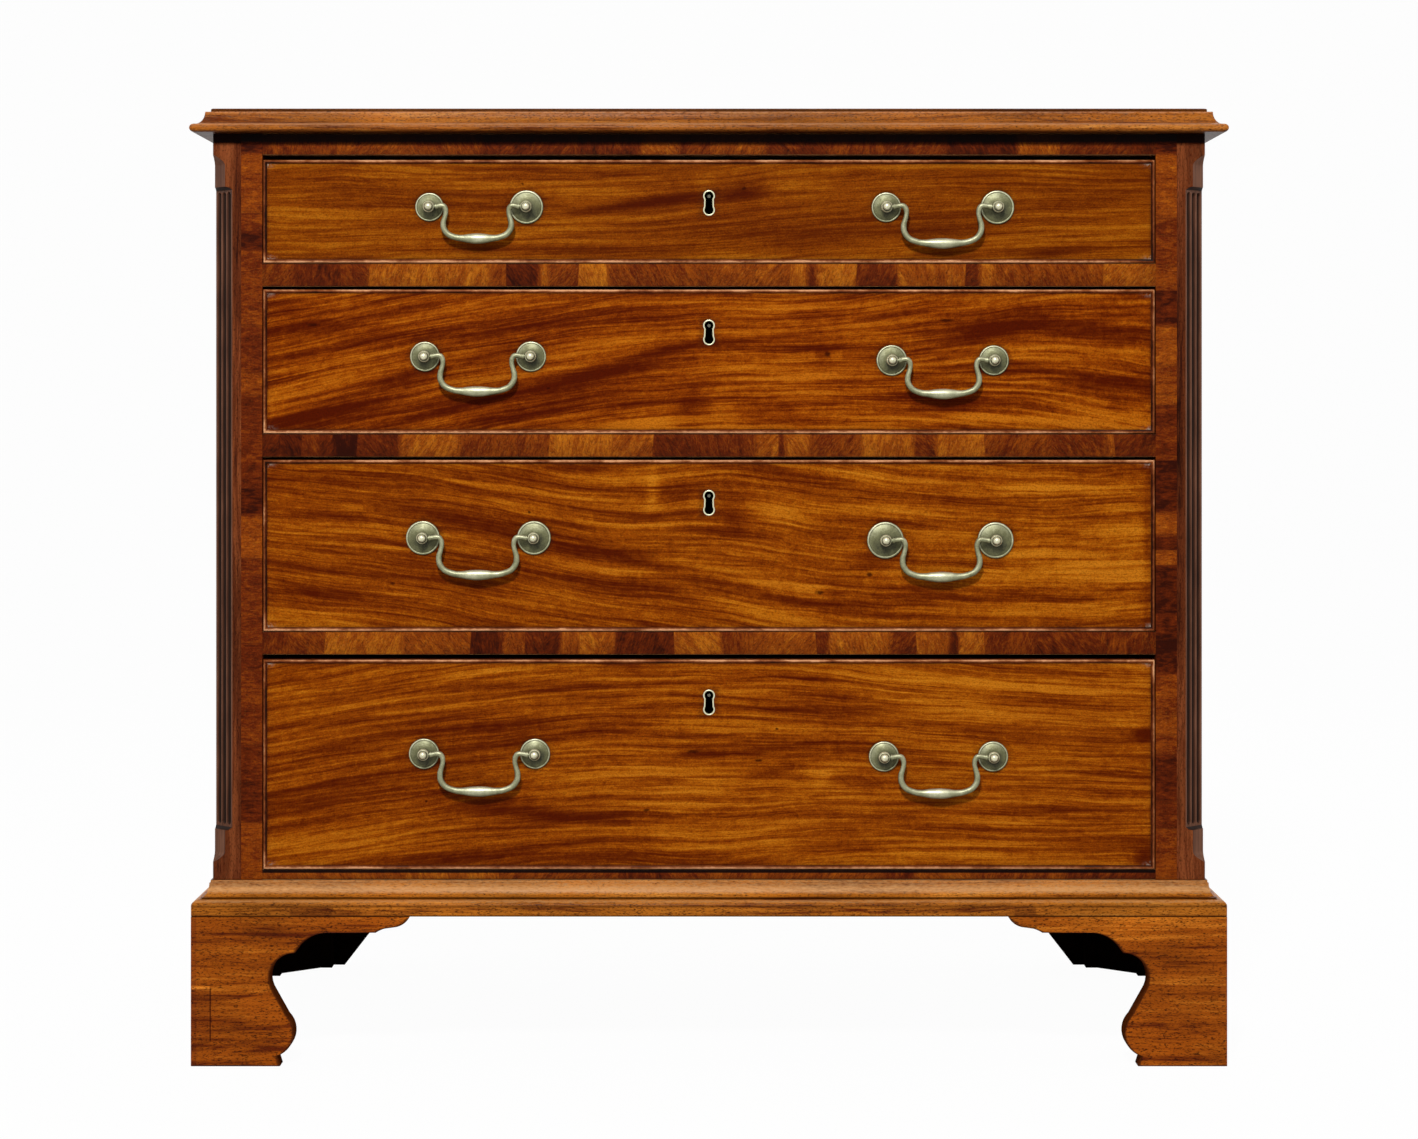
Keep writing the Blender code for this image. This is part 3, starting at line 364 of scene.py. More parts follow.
def hoop(rings):
    """A skin through rings that meet the first one again, so that it is closed both ways."""
    rows, columns = rings.shape[:2]
    return rings.reshape(-1, 3), grid_faces(rows, columns, True, True)


def box_ring(low, high, ease):
    """A board from one corner to the other, as two rings with eased ends: lines run along X."""
    x0, y0, z0 = low
    x1, y1, z1 = high
    section = np.array((
        (y0 + ease, z0), (y1 - ease, z0), (y1, z0 + ease), (y1, z1 - ease),
        (y1 - ease, z1), (y0 + ease, z1), (y0, z1 - ease), (y0, z0 + ease),
    ))
    middle = section.mean(0)
    inner = middle + (section - middle) * (1 - 2 * ease / np.array((y1 - y0, z1 - z0)))
    rows = [(x0, inner), (x0 + ease, section), (x1 - ease, section), (x1, inner)]
    return np.stack([np.column_stack((np.full(8, x), ring)) for x, ring in rows])


def together(parts):
    """Joins several (points, faces) into one, and gives the number of the part of each face."""
    points, faces, owners, start = [], [], [], 0
    for number, (part_points, part_faces) in enumerate(parts):
        points.append(part_points)
        faces += [[corner + start for corner in face] for face in part_faces]
        owners += [number] * len(part_faces)
        start += len(part_points)
    return np.concatenate(points), faces, np.array(owners)


def full_turn(count):
    """Even angles once round, without the first again at the end."""
    return np.linspace(0, 2 * math.pi, count + 1)[:-1]


def make_piece(
    name, body, materials, points, faces, values=None, numbers=None, angle=35.0, replaced=(),
):
    """An object from arrays. values holds one number or one vector a point for each attribute;
    numbers are the material numbers of the faces."""
    mesh = bpy.data.meshes.new(name)
    mesh.from_pydata(points, [], faces)
    for material in materials:
        mesh.materials.append(material)
    if numbers is not None:
        mesh.polygons.foreach_set("material_index", np.asarray(numbers, dtype=np.int32))
    for key, array in (values or {}).items():
        array = np.asarray(array, dtype=np.float32).ravel()
        kind, field = ("FLOAT", "value") if array.size == len(points) else ("FLOAT_VECTOR", "vector")
        mesh.attributes.new(key, kind, "POINT").data.foreach_set(field, array)
    shape = bmesh.new()
    shape.from_mesh(mesh)
    bmesh.ops.remove_doubles(shape, verts=shape.verts, dist=1e-6)
    bmesh.ops.recalc_face_normals(shape, faces=shape.faces)
    shape.to_mesh(mesh)
    shape.free()
    mesh.shade_smooth()
    mesh.set_sharp_from_angle(angle=math.radians(angle))
    piece = bpy.data.objects.new(name, mesh)
    bpy.context.scene.collection.objects.link(piece)
    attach(piece, body)
    if replaced:
        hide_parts(*replaced)
    return piece


def curve_through(stations, values, at):
    """A smooth curve through values at stations: cubic pieces whose slopes are the mean slopes of the
    neighbouring chords."""
    stations, values, at = (np.asarray(a, dtype=float) for a in (stations, values, at))
    slopes = np.gradient(values, stations)
    i = np.clip(np.searchsorted(stations, at, side="right") - 1, 0, len(stations) - 2)
    span = stations[i + 1] - stations[i]
    t = (at - stations[i]) / span
    return (
        values[i] * (2 * t**3 - 3 * t**2 + 1)
        + slopes[i] * span * (t**3 - 2 * t**2 + t)
        + values[i + 1] * (3 * t**2 - 2 * t**3)
        + slopes[i + 1] * span * (t**3 - t**2)
    )


# Materials


def shaded(colour, factor):
    """The colour, lighter or darker by a factor."""
    return tuple(channel * factor for channel in colour)


class Nodes:
    """A node tree, with short ways to add to it."""

    def __init__(self, tree):
        self.tree = tree

    def put(self, node, socket, value):
        target = node.inputs[socket]
        if isinstance(value, bpy.types.NodeSocket):
            self.tree.links.new(value, target)
        elif isinstance(value, (tuple, list)) and target.type == "RGBA" and len(value) == 3:
            target.default_value = (*value, 1.0)
        else:
            target.default_value = value

    def node(self, kind, inputs=(), **settings):
        made = self.tree.nodes.new("ShaderNode" + kind)
        for key, value in settings.items():
            setattr(made, key, value)
        for socket, value in dict(inputs).items():
            self.put(made, socket, value)
        return made

    def math(self, operation, a, b=0.0, clamp=False):
        return self.node("Math", {0: a, 1: b}, operation=operation, use_clamp=clamp).outputs[0]

    def add(self, total, *more):
        for value in more:
            total = self.math("ADD", total, value)
        return total

    def times(self, a, b, clamp=False):
        return self.math("MULTIPLY", a, b, clamp)

    def swing(self, value, width):
        """The value less a half, times the width."""
        return self.times(self.math("SUBTRACT", value, 0.5), width)

    def remap(self, value, low, high):
        """A value between 0 and 1, carried to between low and high."""
        return self.node("MapRange", {"Value": value, "To Min": low, "To Max": high}).outputs[0]

    def step(self, value, low, high):
        """0 at low and 1 at high, and even beyond them."""
        return self.node("MapRange", {"Value": value, "From Min": low, "From Max": high}).outputs[0]

    def seen(self):
        """1 for rays from the camera, a mirror or a glass, and 0 for those that light the scene."""
        rays = self.node("LightPath").outputs
        mirrored = self.math("MAXIMUM", rays["Is Glossy Ray"], rays["Is Transmission Ray"])
        return self.math("MAXIMUM", rays["Is Camera Ray"], mirrored)


class Finish(Nodes):
    """A material's nodes, which surface() joins to its shader."""

    def __init__(self, name):
        self.material = bpy.data.materials.new(name)
        self.material.use_nodes = True
        super().__init__(self.material.node_tree)
        self.shader = self.tree.nodes["Principled BSDF"]

    def place(self):
        return self.node("TexCoord").outputs["Object"]

    def attribute(self, name, output="Fac"):
        return self.node("Attribute", attribute_name=name).outputs[output]

    def vector(self, operation, a, b):
        return self.node("VectorMath", {0: a, 1: b}, operation=operation).outputs[0]

    def apart(self, place, middle, scale):
        """How far a place is from a middle, once each axis is scaled."""
        gap = self.vector("MULTIPLY", self.vector("SUBTRACT", place, middle), scale)
        return self.node("VectorMath", {0: gap}, operation="LENGTH").outputs["Value"]

    def noise(self, vector, scale, shift=(0.0, 0.0, 0.0), detail=3.0, rough=0.55, warp=0.0):
        spread = self.node("Mapping", {"Vector": vector, "Scale": scale, "Location": shift}).outputs[0]
        return self.node("TexNoise", {
            "Vector": spread, "Scale": 1.0, "Detail": detail, "Roughness": rough, "Distortion": warp,
        }).outputs["Fac"]

    def ramp(self, value, *stops, easing="LINEAR"):
        """Colours or greys at places of a value."""
        made = self.node("ValToRGB", {"Fac": value})
        made.color_ramp.interpolation = easing
        while len(made.color_ramp.elements) < len(stops):
            made.color_ramp.elements.new(1.0)
        for element, (position, colour) in zip(made.color_ramp.elements, stops):
            element.position = position
            element.color = (*colour, 1.0) if isinstance(colour, tuple) else (colour, colour, colour, 1.0)
        return made.outputs[0]

    def mix(self, blend, factor, a, b):
        return self.node("Mix", {0: factor, 6: a, 7: b}, data_type="RGBA", blend_type=blend).outputs[2]

    def bump(self, height, distance, normal=None):
        inputs = {"Height": height, "Distance": distance, "Strength": 1.0}
        if normal:
            inputs["Normal"] = normal
        return self.node("Bump", inputs).outputs[0]

    def surface(self, colour, roughness, normal=None, **plain):
        """Connects the shader. Plain values go straight onto its sockets."""
        self.put(self.shader, "Base Color", colour)
        self.put(self.shader, "Roughness", roughness)
        if normal:
            self.put(self.shader, "Normal", normal)
        for socket, value in plain.items():
            self.put(self.shader, socket.replace("_", " "), value)
        return self.material


def grain_colour(finish, vector, tones, shift, contrast):
    """Streaks along the first axis of vector: broad, medium and fine noise stretched along the grain,
    added and laid over three tones."""
    coarse = finish.noise(vector, (1.6, 34.0, 34.0), shift, 2.0, 0.5, 0.6)
    middle = finish.noise(vector, (6.0, 150.0, 150.0), shift, 4.0, 0.6, 0.3)
    small = finish.noise(vector, (40.0, 620.0, 620.0), shift, 3.0, 0.6)
    total = finish.add(finish.times(coarse, 0.40), finish.times(middle, 0.36), finish.times(small, 0.24))
    spread = 0.13 / contrast
    dark, ground, light = tones
    colour = finish.ramp(total, (0.5 - spread, dark), (0.5, ground), (0.5 + spread, light), easing="EASE")
    return colour, total


def solid_wood(
    name, tones, axis="X", shift=0.0, roughness=0.38, contrast=1.0, pores=0.55, bump=0.00012,
    gloss=0.05, worn=None, patches=(),
):
    """Plain sawn wood with its grain along one axis of the object and dark pores. Where the wear
    attribute is above 0 it is paler, towards the colour worn, and below 0 it is dark: worn spots and
    soiling, and on the top, the base moulding, the feet and the stiles' tops painted highlights and
    painted shade. Patches are boxes in X and Z with a colour of their own."""
    finish = Finish(name)
    place = finish.place()
    spot = finish.node("SeparateXYZ", {0: place}).outputs
    if axis != "X":
        turn = {"Y": (0.0, 0.0, -math.pi / 2), "Z": (0.0, math.pi / 2, 0.0)}[axis]
        place = finish.node("Mapping", {"Vector": place, "Rotation": turn}).outputs[0]
    bend = finish.swing(finish.noise(place, (3.0, 5.0, 5.0), (shift, 0.0, 0.0), 2.0), 0.02)
    place = finish.vector("ADD", place, finish.node("CombineXYZ", {1: bend, 2: bend}).outputs[0])
    far = (shift, shift * 1.7, -shift)
    colour, total = grain_colour(finish, place, tones, far, contrast)
    mottle = finish.noise(place, (9.0, 14.0, 14.0), far, 3.0)
    colour = finish.mix("MULTIPLY", 0.7, colour, finish.ramp(mottle, (0.3, 0.55), (0.62, 1.15)))
    specks = finish.noise(place, (380.0, 1300.0, 1300.0), far, 1.0)
    flecks = finish.noise(place, (210.0, 680.0, 680.0), (2.0, 5.0, 1.0), 2.0)
    dark = finish.math("MAXIMUM", finish.step(specks, 0.54, 0.70), finish.step(flecks, 0.58, 0.70))
    for x, z, wide, tall, tint in patches:
        reach = finish.math("MAXIMUM", *(
            finish.math("DIVIDE", finish.math("ABSOLUTE", finish.math("SUBTRACT", spot[key], middle)), half)
            for key, middle, half in (("X", x, wide), ("Z", z, tall))
        ))
        colour = finish.mix("MULTIPLY", finish.step(reach, 1.06, 0.94), colour, tint)
    colour = finish.mix("MIX", finish.times(dark, pores), colour, shaded(tones[0], 0.28))
    if worn:
        # Paler above 0 for worn spots and painted highlights, darker below 0 for soiling and painted shade
        wear = finish.attribute("wear")
        rub = finish.add(wear, finish.swing(flecks, 1.4))
        pale = finish.times(finish.step(wear, 0.0, 0.3), finish.times(rub, 0.85, True))
        colour = finish.mix("MIX", pale, colour, worn)
        colour = finish.mix("MIX", finish.times(wear, -1.0, True), colour, shaded(tones[0], 0.25))
    height = finish.math("SUBTRACT", finish.times(total, 0.5), finish.times(dark, 0.5))
    rough = finish.remap(finish.step(mottle, -0.4, 1.4), roughness - 0.1, roughness + 0.12)
    return finish.surface(colour, rough, finish.bump(height, bump), Specular_IOR_Level=gloss)


def figured_veneer(name, colours, drawer, shift, contrast, redness, brightness):
    """Striped veneer that follows the grain attribute: its first axis runs along the fibres and its
    second across them, both in metres. The shade attribute makes whole figures of the wood darker or
    lighter. Towards the cockbead, round the roses and round the keyhole it is darkened by soiling and
    by painted shade."""
    finish = Finish(name)
    grain = finish.attribute("grain", "Vector")
    warp = finish.swing(finish.noise(grain, (7.0, 26.0, 1.0), (shift, 1.0, 0.0), 2.0), 0.012)
    flow = finish.vector("ADD", grain, finish.node("CombineXYZ", {1: warp}).outputs[0])
    far = (shift, shift * 2.3, shift)
    ribbons = finish.noise(flow, (4.2, 62.0, 1.0), far, 2.0, 0.5, 0.4)
    stripes = finish.noise(flow, (7.0, 225.0, 1.0), far, 3.0, 0.55, 0.5)
    threads = finish.noise(flow, (20.0, 640.0, 1.0), far, 3.0, 0.6)
    feathers = finish.noise(grain, (110.0, 170.0, 1.0), (shift, 9.0, 0.0), 3.0, 0.6, 0.8)
    total = finish.add(*(
        finish.times(part, share)
        for part, share in ((ribbons, 0.30), (stripes, 0.36), (threads, 0.20), (feathers, 0.14))
    ))
    total = finish.add(finish.swing(total, contrast), 0.5)
    streaky = finish.node("MapRange", {
        "Value": stripes, "From Min": 0.3, "From Max": 0.7, "To Min": 0.45, "To Max": 1.35,
    }).outputs[0]
    total = finish.add(total, finish.times(finish.attribute("shade"), finish.times(streaky, 0.165)))
    tones = [tuple(getattr(colours, "veneer_" + key)) for key in VENEER_STOPS]
    colour = finish.ramp(total, *zip(VENEER_STOPS.values(), tones))
    cloud = finish.noise(grain, (9.0, 18.0, 1.0), (shift * 5, 0.0, 0.0), 3.0)
    cloud = finish.ramp(cloud, (0.35, (0.86, 0.72, 0.66)), (0.62, (1.08, 1.10, 1.08)))
    colour = finish.mix("MULTIPLY", 0.5, colour, cloud)
    specks = finish.noise(flow, (330.0, 1150.0, 1.0), far, 1.0)
    dots = finish.noise(grain, (620.0, 760.0, 1.0), (4.0, shift, 0.0), 1.0)
    sand = finish.math("MAXIMUM", finish.step(specks, 0.50, 0.72), finish.step(dots, 0.48, 0.74))
    colour = finish.mix("MIX", finish.times(sand, 0.50), colour, shaded(tones[0], 0.45))
    sparkle = finish.step(finish.noise(grain, (700.0, 820.0, 1.0), (9.0, shift, 0.0), 1.0), 0.56, 0.74)
    sparkle = finish.times(sparkle, finish.step(total, 0.40, 0.56))
    colour = finish.mix("MIX", finish.times(sparkle, 0.5), colour, tones[-1])
    place = finish.place()
    ragged = finish.noise(place, (420.0, 1.0, 420.0), (shift, 0.0, 0.0), 2.0)
    bottom = corners(drawer + "_front")[0][2]
    for x, z, wide, tall in np.array(MARKS[drawer]) / 1000:
        near = finish.apart(place, (x, 0.0, bottom + z), (1 / wide, 0.0, 1 / tall))
        share = finish.times(finish.step(finish.add(near, ragged), 1.65, 0.95), 0.85)
        colour = finish.mix("MIX", share, colour, shaded(tones[0], 0.35))
    # Painted shadow under each bail, which also stands for old wax where the bail rests against the wood
    for side, _ in SIDES:
        low, high = corners(f"{drawer}_{side}_bail")
        wax = (low[0] + high[0]) / 2, 0.0, low[2] - BAIL_SHADOW_DROP
        near = finish.apart(place, wax, (1 / BAIL_SHADOW_HALF_LENGTH, 0.0, 1 / BAIL_SHADOW_HALF_HEIGHT))
        share = finish.times(finish.step(near, 1.15, 0.15), 0.55)
        colour = finish.mix("MIX", share, colour, shaded(tones[0], 0.8))
    tint = shaded((1.0 + redness, 1.0, 1.0 - redness), brightness)
    colour = finish.mix("MULTIPLY", 1.0, colour, tint)
    # Dark towards the cockbead, round the roses and round the keyhole: soiling, and painted shade in the
    # creases where they meet the veneer
    rub = finish.noise(grain, (26.0, 26.0, 1.0), (1.0, shift, 0.0), 3.0)
    grime_and_shade = finish.times(finish.attribute("border"), finish.step(rub, 0.15, 0.75))
    colour = finish.mix("MIX", finish.times(grime_and_shade, 0.88, True), colour, linear(32, 12, 6))
    dust = finish.times(finish.attribute("dust"), finish.step(ragged, 0.42, 0.56))
    colour = finish.mix("MIX", dust, colour, linear(150, 136, 122))
    height = finish.math("SUBTRACT", finish.times(total, 0.4), finish.times(sand, 0.5))
    ripple = finish.bump(finish.noise(grain, (9.0, 16.0, 1.0), (shift, 0.0, 0.0), 1.0), 0.0005)
    rough = finish.remap(feathers, 0.32, 0.48)
    return finish.surface(colour, rough, finish.bump(height, 0.00006, ripple), Specular_IOR_Level=0.02)


def banding_veneer(name):
    """Crossbanded veneer: each patch has its own tone by attribute, with its grain along the first
    axis of the grain attribute, which lies across the band or leans."""
    finish = Finish(name)
    tone = finish.attribute("tone")
    place = finish.attribute("grain", "Vector")
    stripes = finish.noise(place, (14.0, 95.0, 1.0), detail=4.0, rough=0.6, warp=0.6)
    threads = finish.noise(place, (120.0, 460.0, 1.0), (3.0, 0.0, 0.0), 3.0, 0.65, 0.5)
    curls = finish.noise(place, (60.0, 95.0, 1.0), (0.0, 5.0, 0.0), 3.0, 0.55, 1.2)
    total = finish.add(finish.times(stripes, 0.46), finish.times(threads, 0.68), finish.times(curls, 0.62))
    total = finish.add(finish.times(finish.math("SUBTRACT", total, 0.88), 1.1), tone)
    colour = finish.ramp(
        total, (0.0, linear(48, 12, 3)), (0.30, linear(98, 34, 6)), (0.62, linear(142, 66, 9)),
        (1.0, linear(194, 114, 22)),
    )
    specks = finish.noise(place, (280.0, 900.0, 1.0), detail=1.0)
    dots = finish.noise(place, (640.0, 700.0, 1.0), (0.0, 2.0, 0.0), 1.0)
    dark = finish.math("MAXIMUM", finish.step(specks, 0.52, 0.72), finish.step(dots, 0.52, 0.74))
    colour = finish.mix("MIX", finish.times(dark, 0.50), colour, linear(40, 11, 3))
    pale = finish.step(finish.noise(place, (520.0, 760.0, 1.0), (7.0, 2.0, 0.0), 1.0), 0.56, 0.74)
    pale = finish.times(pale, finish.step(tone, 0.15, 1.2))
    colour = finish.mix("MIX", finish.times(pale, 0.5), colour, linear(198, 126, 52))
    # Near black at the joints, and as painted shadow and shade under the top and beside the drawers' gaps
    colour = finish.mix("MIX", finish.times(finish.attribute("border"), 0.97), colour, linear(7, 3, 3))
    rough = finish.remap(curls, 0.34, 0.52)
    height = finish.math("SUBTRACT", total, dark)
    return finish.surface(colour, rough, finish.bump(height, 0.00005), Specular_IOR_Level=0.03)


def worn_highlit_bead(name):
    """Dark cockbead wood whose crown, where the wear attribute is high, is pale in places, partly worn and
    partly a painted highlight.
    """
    finish = Finish(name)
    place = finish.place()
    rub = finish.noise(place, (34.0, 200.0, 34.0), detail=4.0, rough=0.6)
    fine = finish.noise(place, (260.0, 700.0, 260.0), (5.0, 0.0, 0.0), 2.0)
    amount = finish.add(finish.swing(rub, 1.5), finish.attribute("wear"), finish.swing(fine, 0.5))
    colour = finish.ramp(
        amount, (0.0, linear(20, 7, 3)), (0.30, linear(84, 34, 12)), (0.64, linear(134, 74, 36)),
        (1.0, linear(212, 154, 110)),
    )
    return finish.surface(
        colour, finish.step(rub, -0.4, 1.6), finish.bump(fine, 0.00008), Specular_IOR_Level=0.05,
    )


def waxed_corner(name, colours):
    """Dark old wax with worn arrises: the wear attribute is 0 in a flute and 1 on a fillet."""
    finish = Finish(name)
    place = finish.place()
    streak = finish.noise(place, (420.0, 420.0, 9.0), detail=4.0)
    blotch = finish.noise(place, (60.0, 60.0, 22.0), (3.0, 0.0, 0.0), 3.0)
    amount = finish.add(finish.attribute("wear"), finish.swing(streak, 0.7), finish.swing(blotch, 0.7))
    colour = finish.ramp(
        amount, (0.05, tuple(colours.waxed_dark)), (0.50, linear(72, 42, 28)),
        (1.0, tuple(colours.waxed_light)),
    )
    rough = finish.remap(blotch, 0.40, 0.60)
    return finish.surface(colour, rough, finish.bump(streak, 0.0001), Specular_IOR_Level=0.05)


def old_brass(name, colours, shine=0.0):
    """Brass with a grey-green patina that is worn off where the wear attribute is high; on the handles that
    attribute also holds painted light.
    """
    finish = Finish(name)
    place = finish.place()
    cloud = finish.noise(place, (120.0, 120.0, 120.0), detail=4.0, rough=0.6)
    grains = finish.noise(place, (900.0, 900.0, 900.0), detail=2.0)
    amount = finish.add(
        finish.attribute("wear"), finish.swing(cloud, 0.6), finish.swing(grains, 0.3), shine,
    )
    patina = tuple(colours.patina)
    colour = finish.ramp(
        amount, (0.0, shaded(patina, 0.20)), (0.30, patina), (0.60, linear(148, 148, 117)),
        (0.95, tuple(colours.brass)),
    )
    rough = finish.remap(amount, 0.62, 0.36)
    return finish.surface(colour, rough, finish.bump(finish.add(cloud, grains), 0.00005), Metallic=0.55)


def lock_finish(name, colours, pin_height):
    """Stained brass, painted black as shade where it is seen through the keyhole, but for the pin's tip."""
    finish = Finish(name)
    place = finish.place()
    cloud = finish.noise(place, (160.0, 160.0, 160.0), detail=4.0, rough=0.6)
    brass = finish.ramp(cloud, (0.35, shaded(colours.patina, 0.5)), (0.65, tuple(colours.brass)))
    axes = finish.node("SeparateXYZ", {0: place}).outputs
    reach = finish.apart(place, (0.0, 0.0, pin_height), (1.0, 0.0, 1.0))
    narrow = finish.step(finish.math("ABSOLUTE", axes["X"]), 0.0062, 0.0058)
    fore = finish.step(axes["Y"], FRONT + 0.0180, FRONT + 0.0175)
    behind_hole = finish.times(narrow, fore)
    # Painted shade: black, without metal or gloss, where the lock is seen through the keyhole
    painted_dark = finish.times(behind_hole, finish.step(reach, 0.0012, 0.0016))
    colour = finish.mix("MIX", painted_dark, brass, (0.0004, 0.0003, 0.0003))
    tip = finish.times(behind_hole, finish.step(reach, 0.0016, 0.0012))
    colour = finish.mix("MIX", tip, colour, linear(104, 102, 90))
    metal = finish.math("SUBTRACT", 1.0, behind_hole)
    return finish.surface(colour, finish.step(cloud, -0.3, 1.3), Metallic=metal, Specular_IOR_Level=0.0)


def rough_steel(name, colours):
    """Dull filed steel with brown spots."""
    finish = Finish(name)
    place = finish.place()
    spots = finish.noise(place, (260.0, 260.0, 260.0), detail=4.0)
    files = finish.noise(place, (60.0, 2600.0, 2600.0), detail=2.0)
    colour = finish.ramp(spots, (0.42, tuple(colours.steel)), (0.68, linear(84, 52, 34)))
    return finish.surface(colour, finish.step(spots, 0.1, 1.1), finish.bump(files, 0.00004), Metallic=0.9)


def plain_shades(tone):
    """Dark, middle and light tones of a plain wood."""
    return shaded(tone, 0.55), tone, shaded(tone, 1.25)


MADE = {}


def finishes():
    """Every material by its short name, made at the first call."""
    if MADE:
        return MADE
    colours = bpy.context.scene.chest_colours
    solid = tuple(colours.solid_dark), tuple(colours.solid_mid), tuple(colours.solid_light)
    edge = linear(92, 38, 6), linear(162, 92, 28), linear(204, 136, 62)
    moulded = solid[0], linear(180, 104, 26), linear(216, 142, 56)
    red = linear(58, 18, 5), linear(108, 44, 11), linear(136, 66, 18)
    brown = linear(40, 15, 8), linear(90, 40, 18), linear(124, 64, 32)
    oak, pine = plain_shades(tuple(colours.oak)), plain_shades(tuple(colours.pine))
    # Dark tones for the feet's shaped edges, and near black for their glue blocks and rear boards: painted
    # shade where these face down or away from the lamps
    shaped_edge, foot_back, shade_black = (
        plain_shades(linear(*tone)) for tone in ((84, 38, 11), (112, 74, 42), (20, 11, 8))
    )
    foot_wear = linear(200, 140, 96)
    # Short name: the material's name, its tones, grain axis and place in the noise, and what differs
    for key, name, tones, axis, shift, more in (
        # The worn colours of the top and the moulding are mostly painted highlights
        ("top", "top_mahogany", edge, "X", 3.0,
         {"roughness": 0.34, "pores": 0.85, "worn": linear(210, 150, 108), "patches": TOP_MARKS}),
        ("moulding", "moulding_mahogany", moulded, "X", 9.0,
         {"roughness": 0.32, "pores": 0.85, "worn": linear(210, 154, 98), "patches": MOULDING_MARKS}),
        ("foot", "foot_mahogany", solid, "X", 14.0,
         {"contrast": 1.1, "pores": 0.9, "worn": foot_wear, "patches": FOOT_MARKS}),
        ("foot_side", "side_foot_mahogany", solid, "Y", 17.0,
         {"contrast": 0.9, "pores": 0.9, "worn": foot_wear}),
        ("side", "side_mahogany", solid, "Z", 21.0, {"contrast": 0.95}),
        ("stile", "stile_mahogany", brown, "Z", 24.0,
         {"contrast": 1.4, "gloss": 0.02, "worn": linear(140, 80, 44)}),
        ("ground", "drawer_front_ground", red, "X", 29.0, {"roughness": 0.5}),
        ("oak", "lining_oak", oak, "Y", 31.0, {"roughness": 0.62, "pores": 0.35}),
        ("oak_across", "bottom_oak", oak, "X", 33.0, {"roughness": 0.62, "pores": 0.35}),
        ("inside", "dust_board_pine", pine, "Y", 41.0, {"roughness": 0.75, "pores": 0.25, "bump": 0.0002}),
        ("foot_edge", "foot_edge_mahogany", shaped_edge, "X", 47.0, {"roughness": 0.8, "gloss": 0.0}),
        ("foot_back", "foot_back_pine", foot_back, "X", 45.0, {"roughness": 0.75, "gloss": 0.02}),
        ("block", "dirty_foot_back", shade_black, "X", 43.0, {"roughness": 0.8, "gloss": 0.0}),
    ):
        MADE[key] = solid_wood(name, tones, axis, shift, **more)
    MADE.update({
        "bead": worn_highlit_bead("worn_cockbead"),
        "banding": banding_veneer("crossbanding"),
        "corner": waxed_corner("waxed_corner", colours),
        "brass": old_brass("patinated_brass", colours),
        "lining": old_brass("rubbed_brass", colours, 0.42),
        "steel": rough_steel("filed_steel", colours),
    })
    for drawer, temper in TEMPERS.items():
        MADE[drawer] = figured_veneer(drawer + "_figure", colours, drawer, *temper)
        pin_height = keyhole_middle(drawer) + KEYHOLE_CIRCLE_RISE
        MADE[drawer + "_lock"] = lock_finish(drawer + "_lock_brass", colours, pin_height)
    return MADE


# Pieces of the case


def rounded_rectangle(side, nose, rear, radius, steps=4):
    """Plan of the top at one level: straight at the rear, and quarter circles at the front corners."""
    turn = np.linspace(0, math.pi / 2, steps + 1)
    left = np.column_stack((-side + radius - radius * np.cos(turn), nose + radius - radius * np.sin(turn)))
    right = left[::-1] * (-1, 1)
    return np.concatenate(([(-side, rear)], left, right, [(side, rear)]))


def make_top_board(sizes):
    """Plans stacked along the edge's profile, which goes by insets and heights: a half round of
    cosines and sines, a quarter-round cove, a step and a fillet."""
    low, high = corners("top_board")
    nose = TOP_NOSE_RADIUS
    turn = np.linspace(-math.pi / 2, math.pi / 2, 15)
    cove = np.linspace(0, math.pi / 2, 12)[1:]
    edge = nose + TOP_COVE_OUT + TOP_STEP
    level = 2 * nose + TOP_COVE_DROP
    ease = TOP_FILLET * 0.25
    inset = np.concatenate((
        nose - nose * np.cos(turn), nose + TOP_COVE_OUT * np.sin(cove),
        (edge - ease, edge, edge, edge + ease, edge + 3 * ease),
    ))
    rise = np.concatenate((
        nose + nose * np.sin(turn), 2 * nose + TOP_COVE_DROP * (1 - np.cos(cove)),
        level + np.array((0, ease / 2, TOP_FILLET - ease, TOP_FILLET - ease / 4, TOP_FILLET)),
    ))
    rings = []
    for i, up in zip(inset, rise):
        plan = rounded_rectangle(high[0] - i, low[1] + i, high[1], sizes.corner_wear)
        rings.append(np.column_stack((plan, np.full(len(plan), low[2] + up))))
    points, faces = loft(np.array(rings))
    # Painted light and shade round the edge: the nose dark underneath and pale above as a highlight, pale
    # highlights on the cove, and a dark line at the fillet, partly soiling
    wear = np.concatenate((
        np.interp(turn, (-1.57, -0.9, -0.3, 0.5, 1.2, 1.57), (-0.9, -0.6, 0.05, 0.18, 0.6, 0.75)),
        np.interp(cove, (0.0, 0.3, 0.6, 1.4, 1.57), (0.65, 0.25, 0.08, 0.10, 0.55)),
        (0.6, -0.75, -0.75, -0.4, 0.0),
    ))
    make_piece(
        "moulded_top", "case", [finishes()["top"]], points, faces,
        {"wear": np.repeat(wear, len(rings[0]))}, replaced=("top_board",),
    )


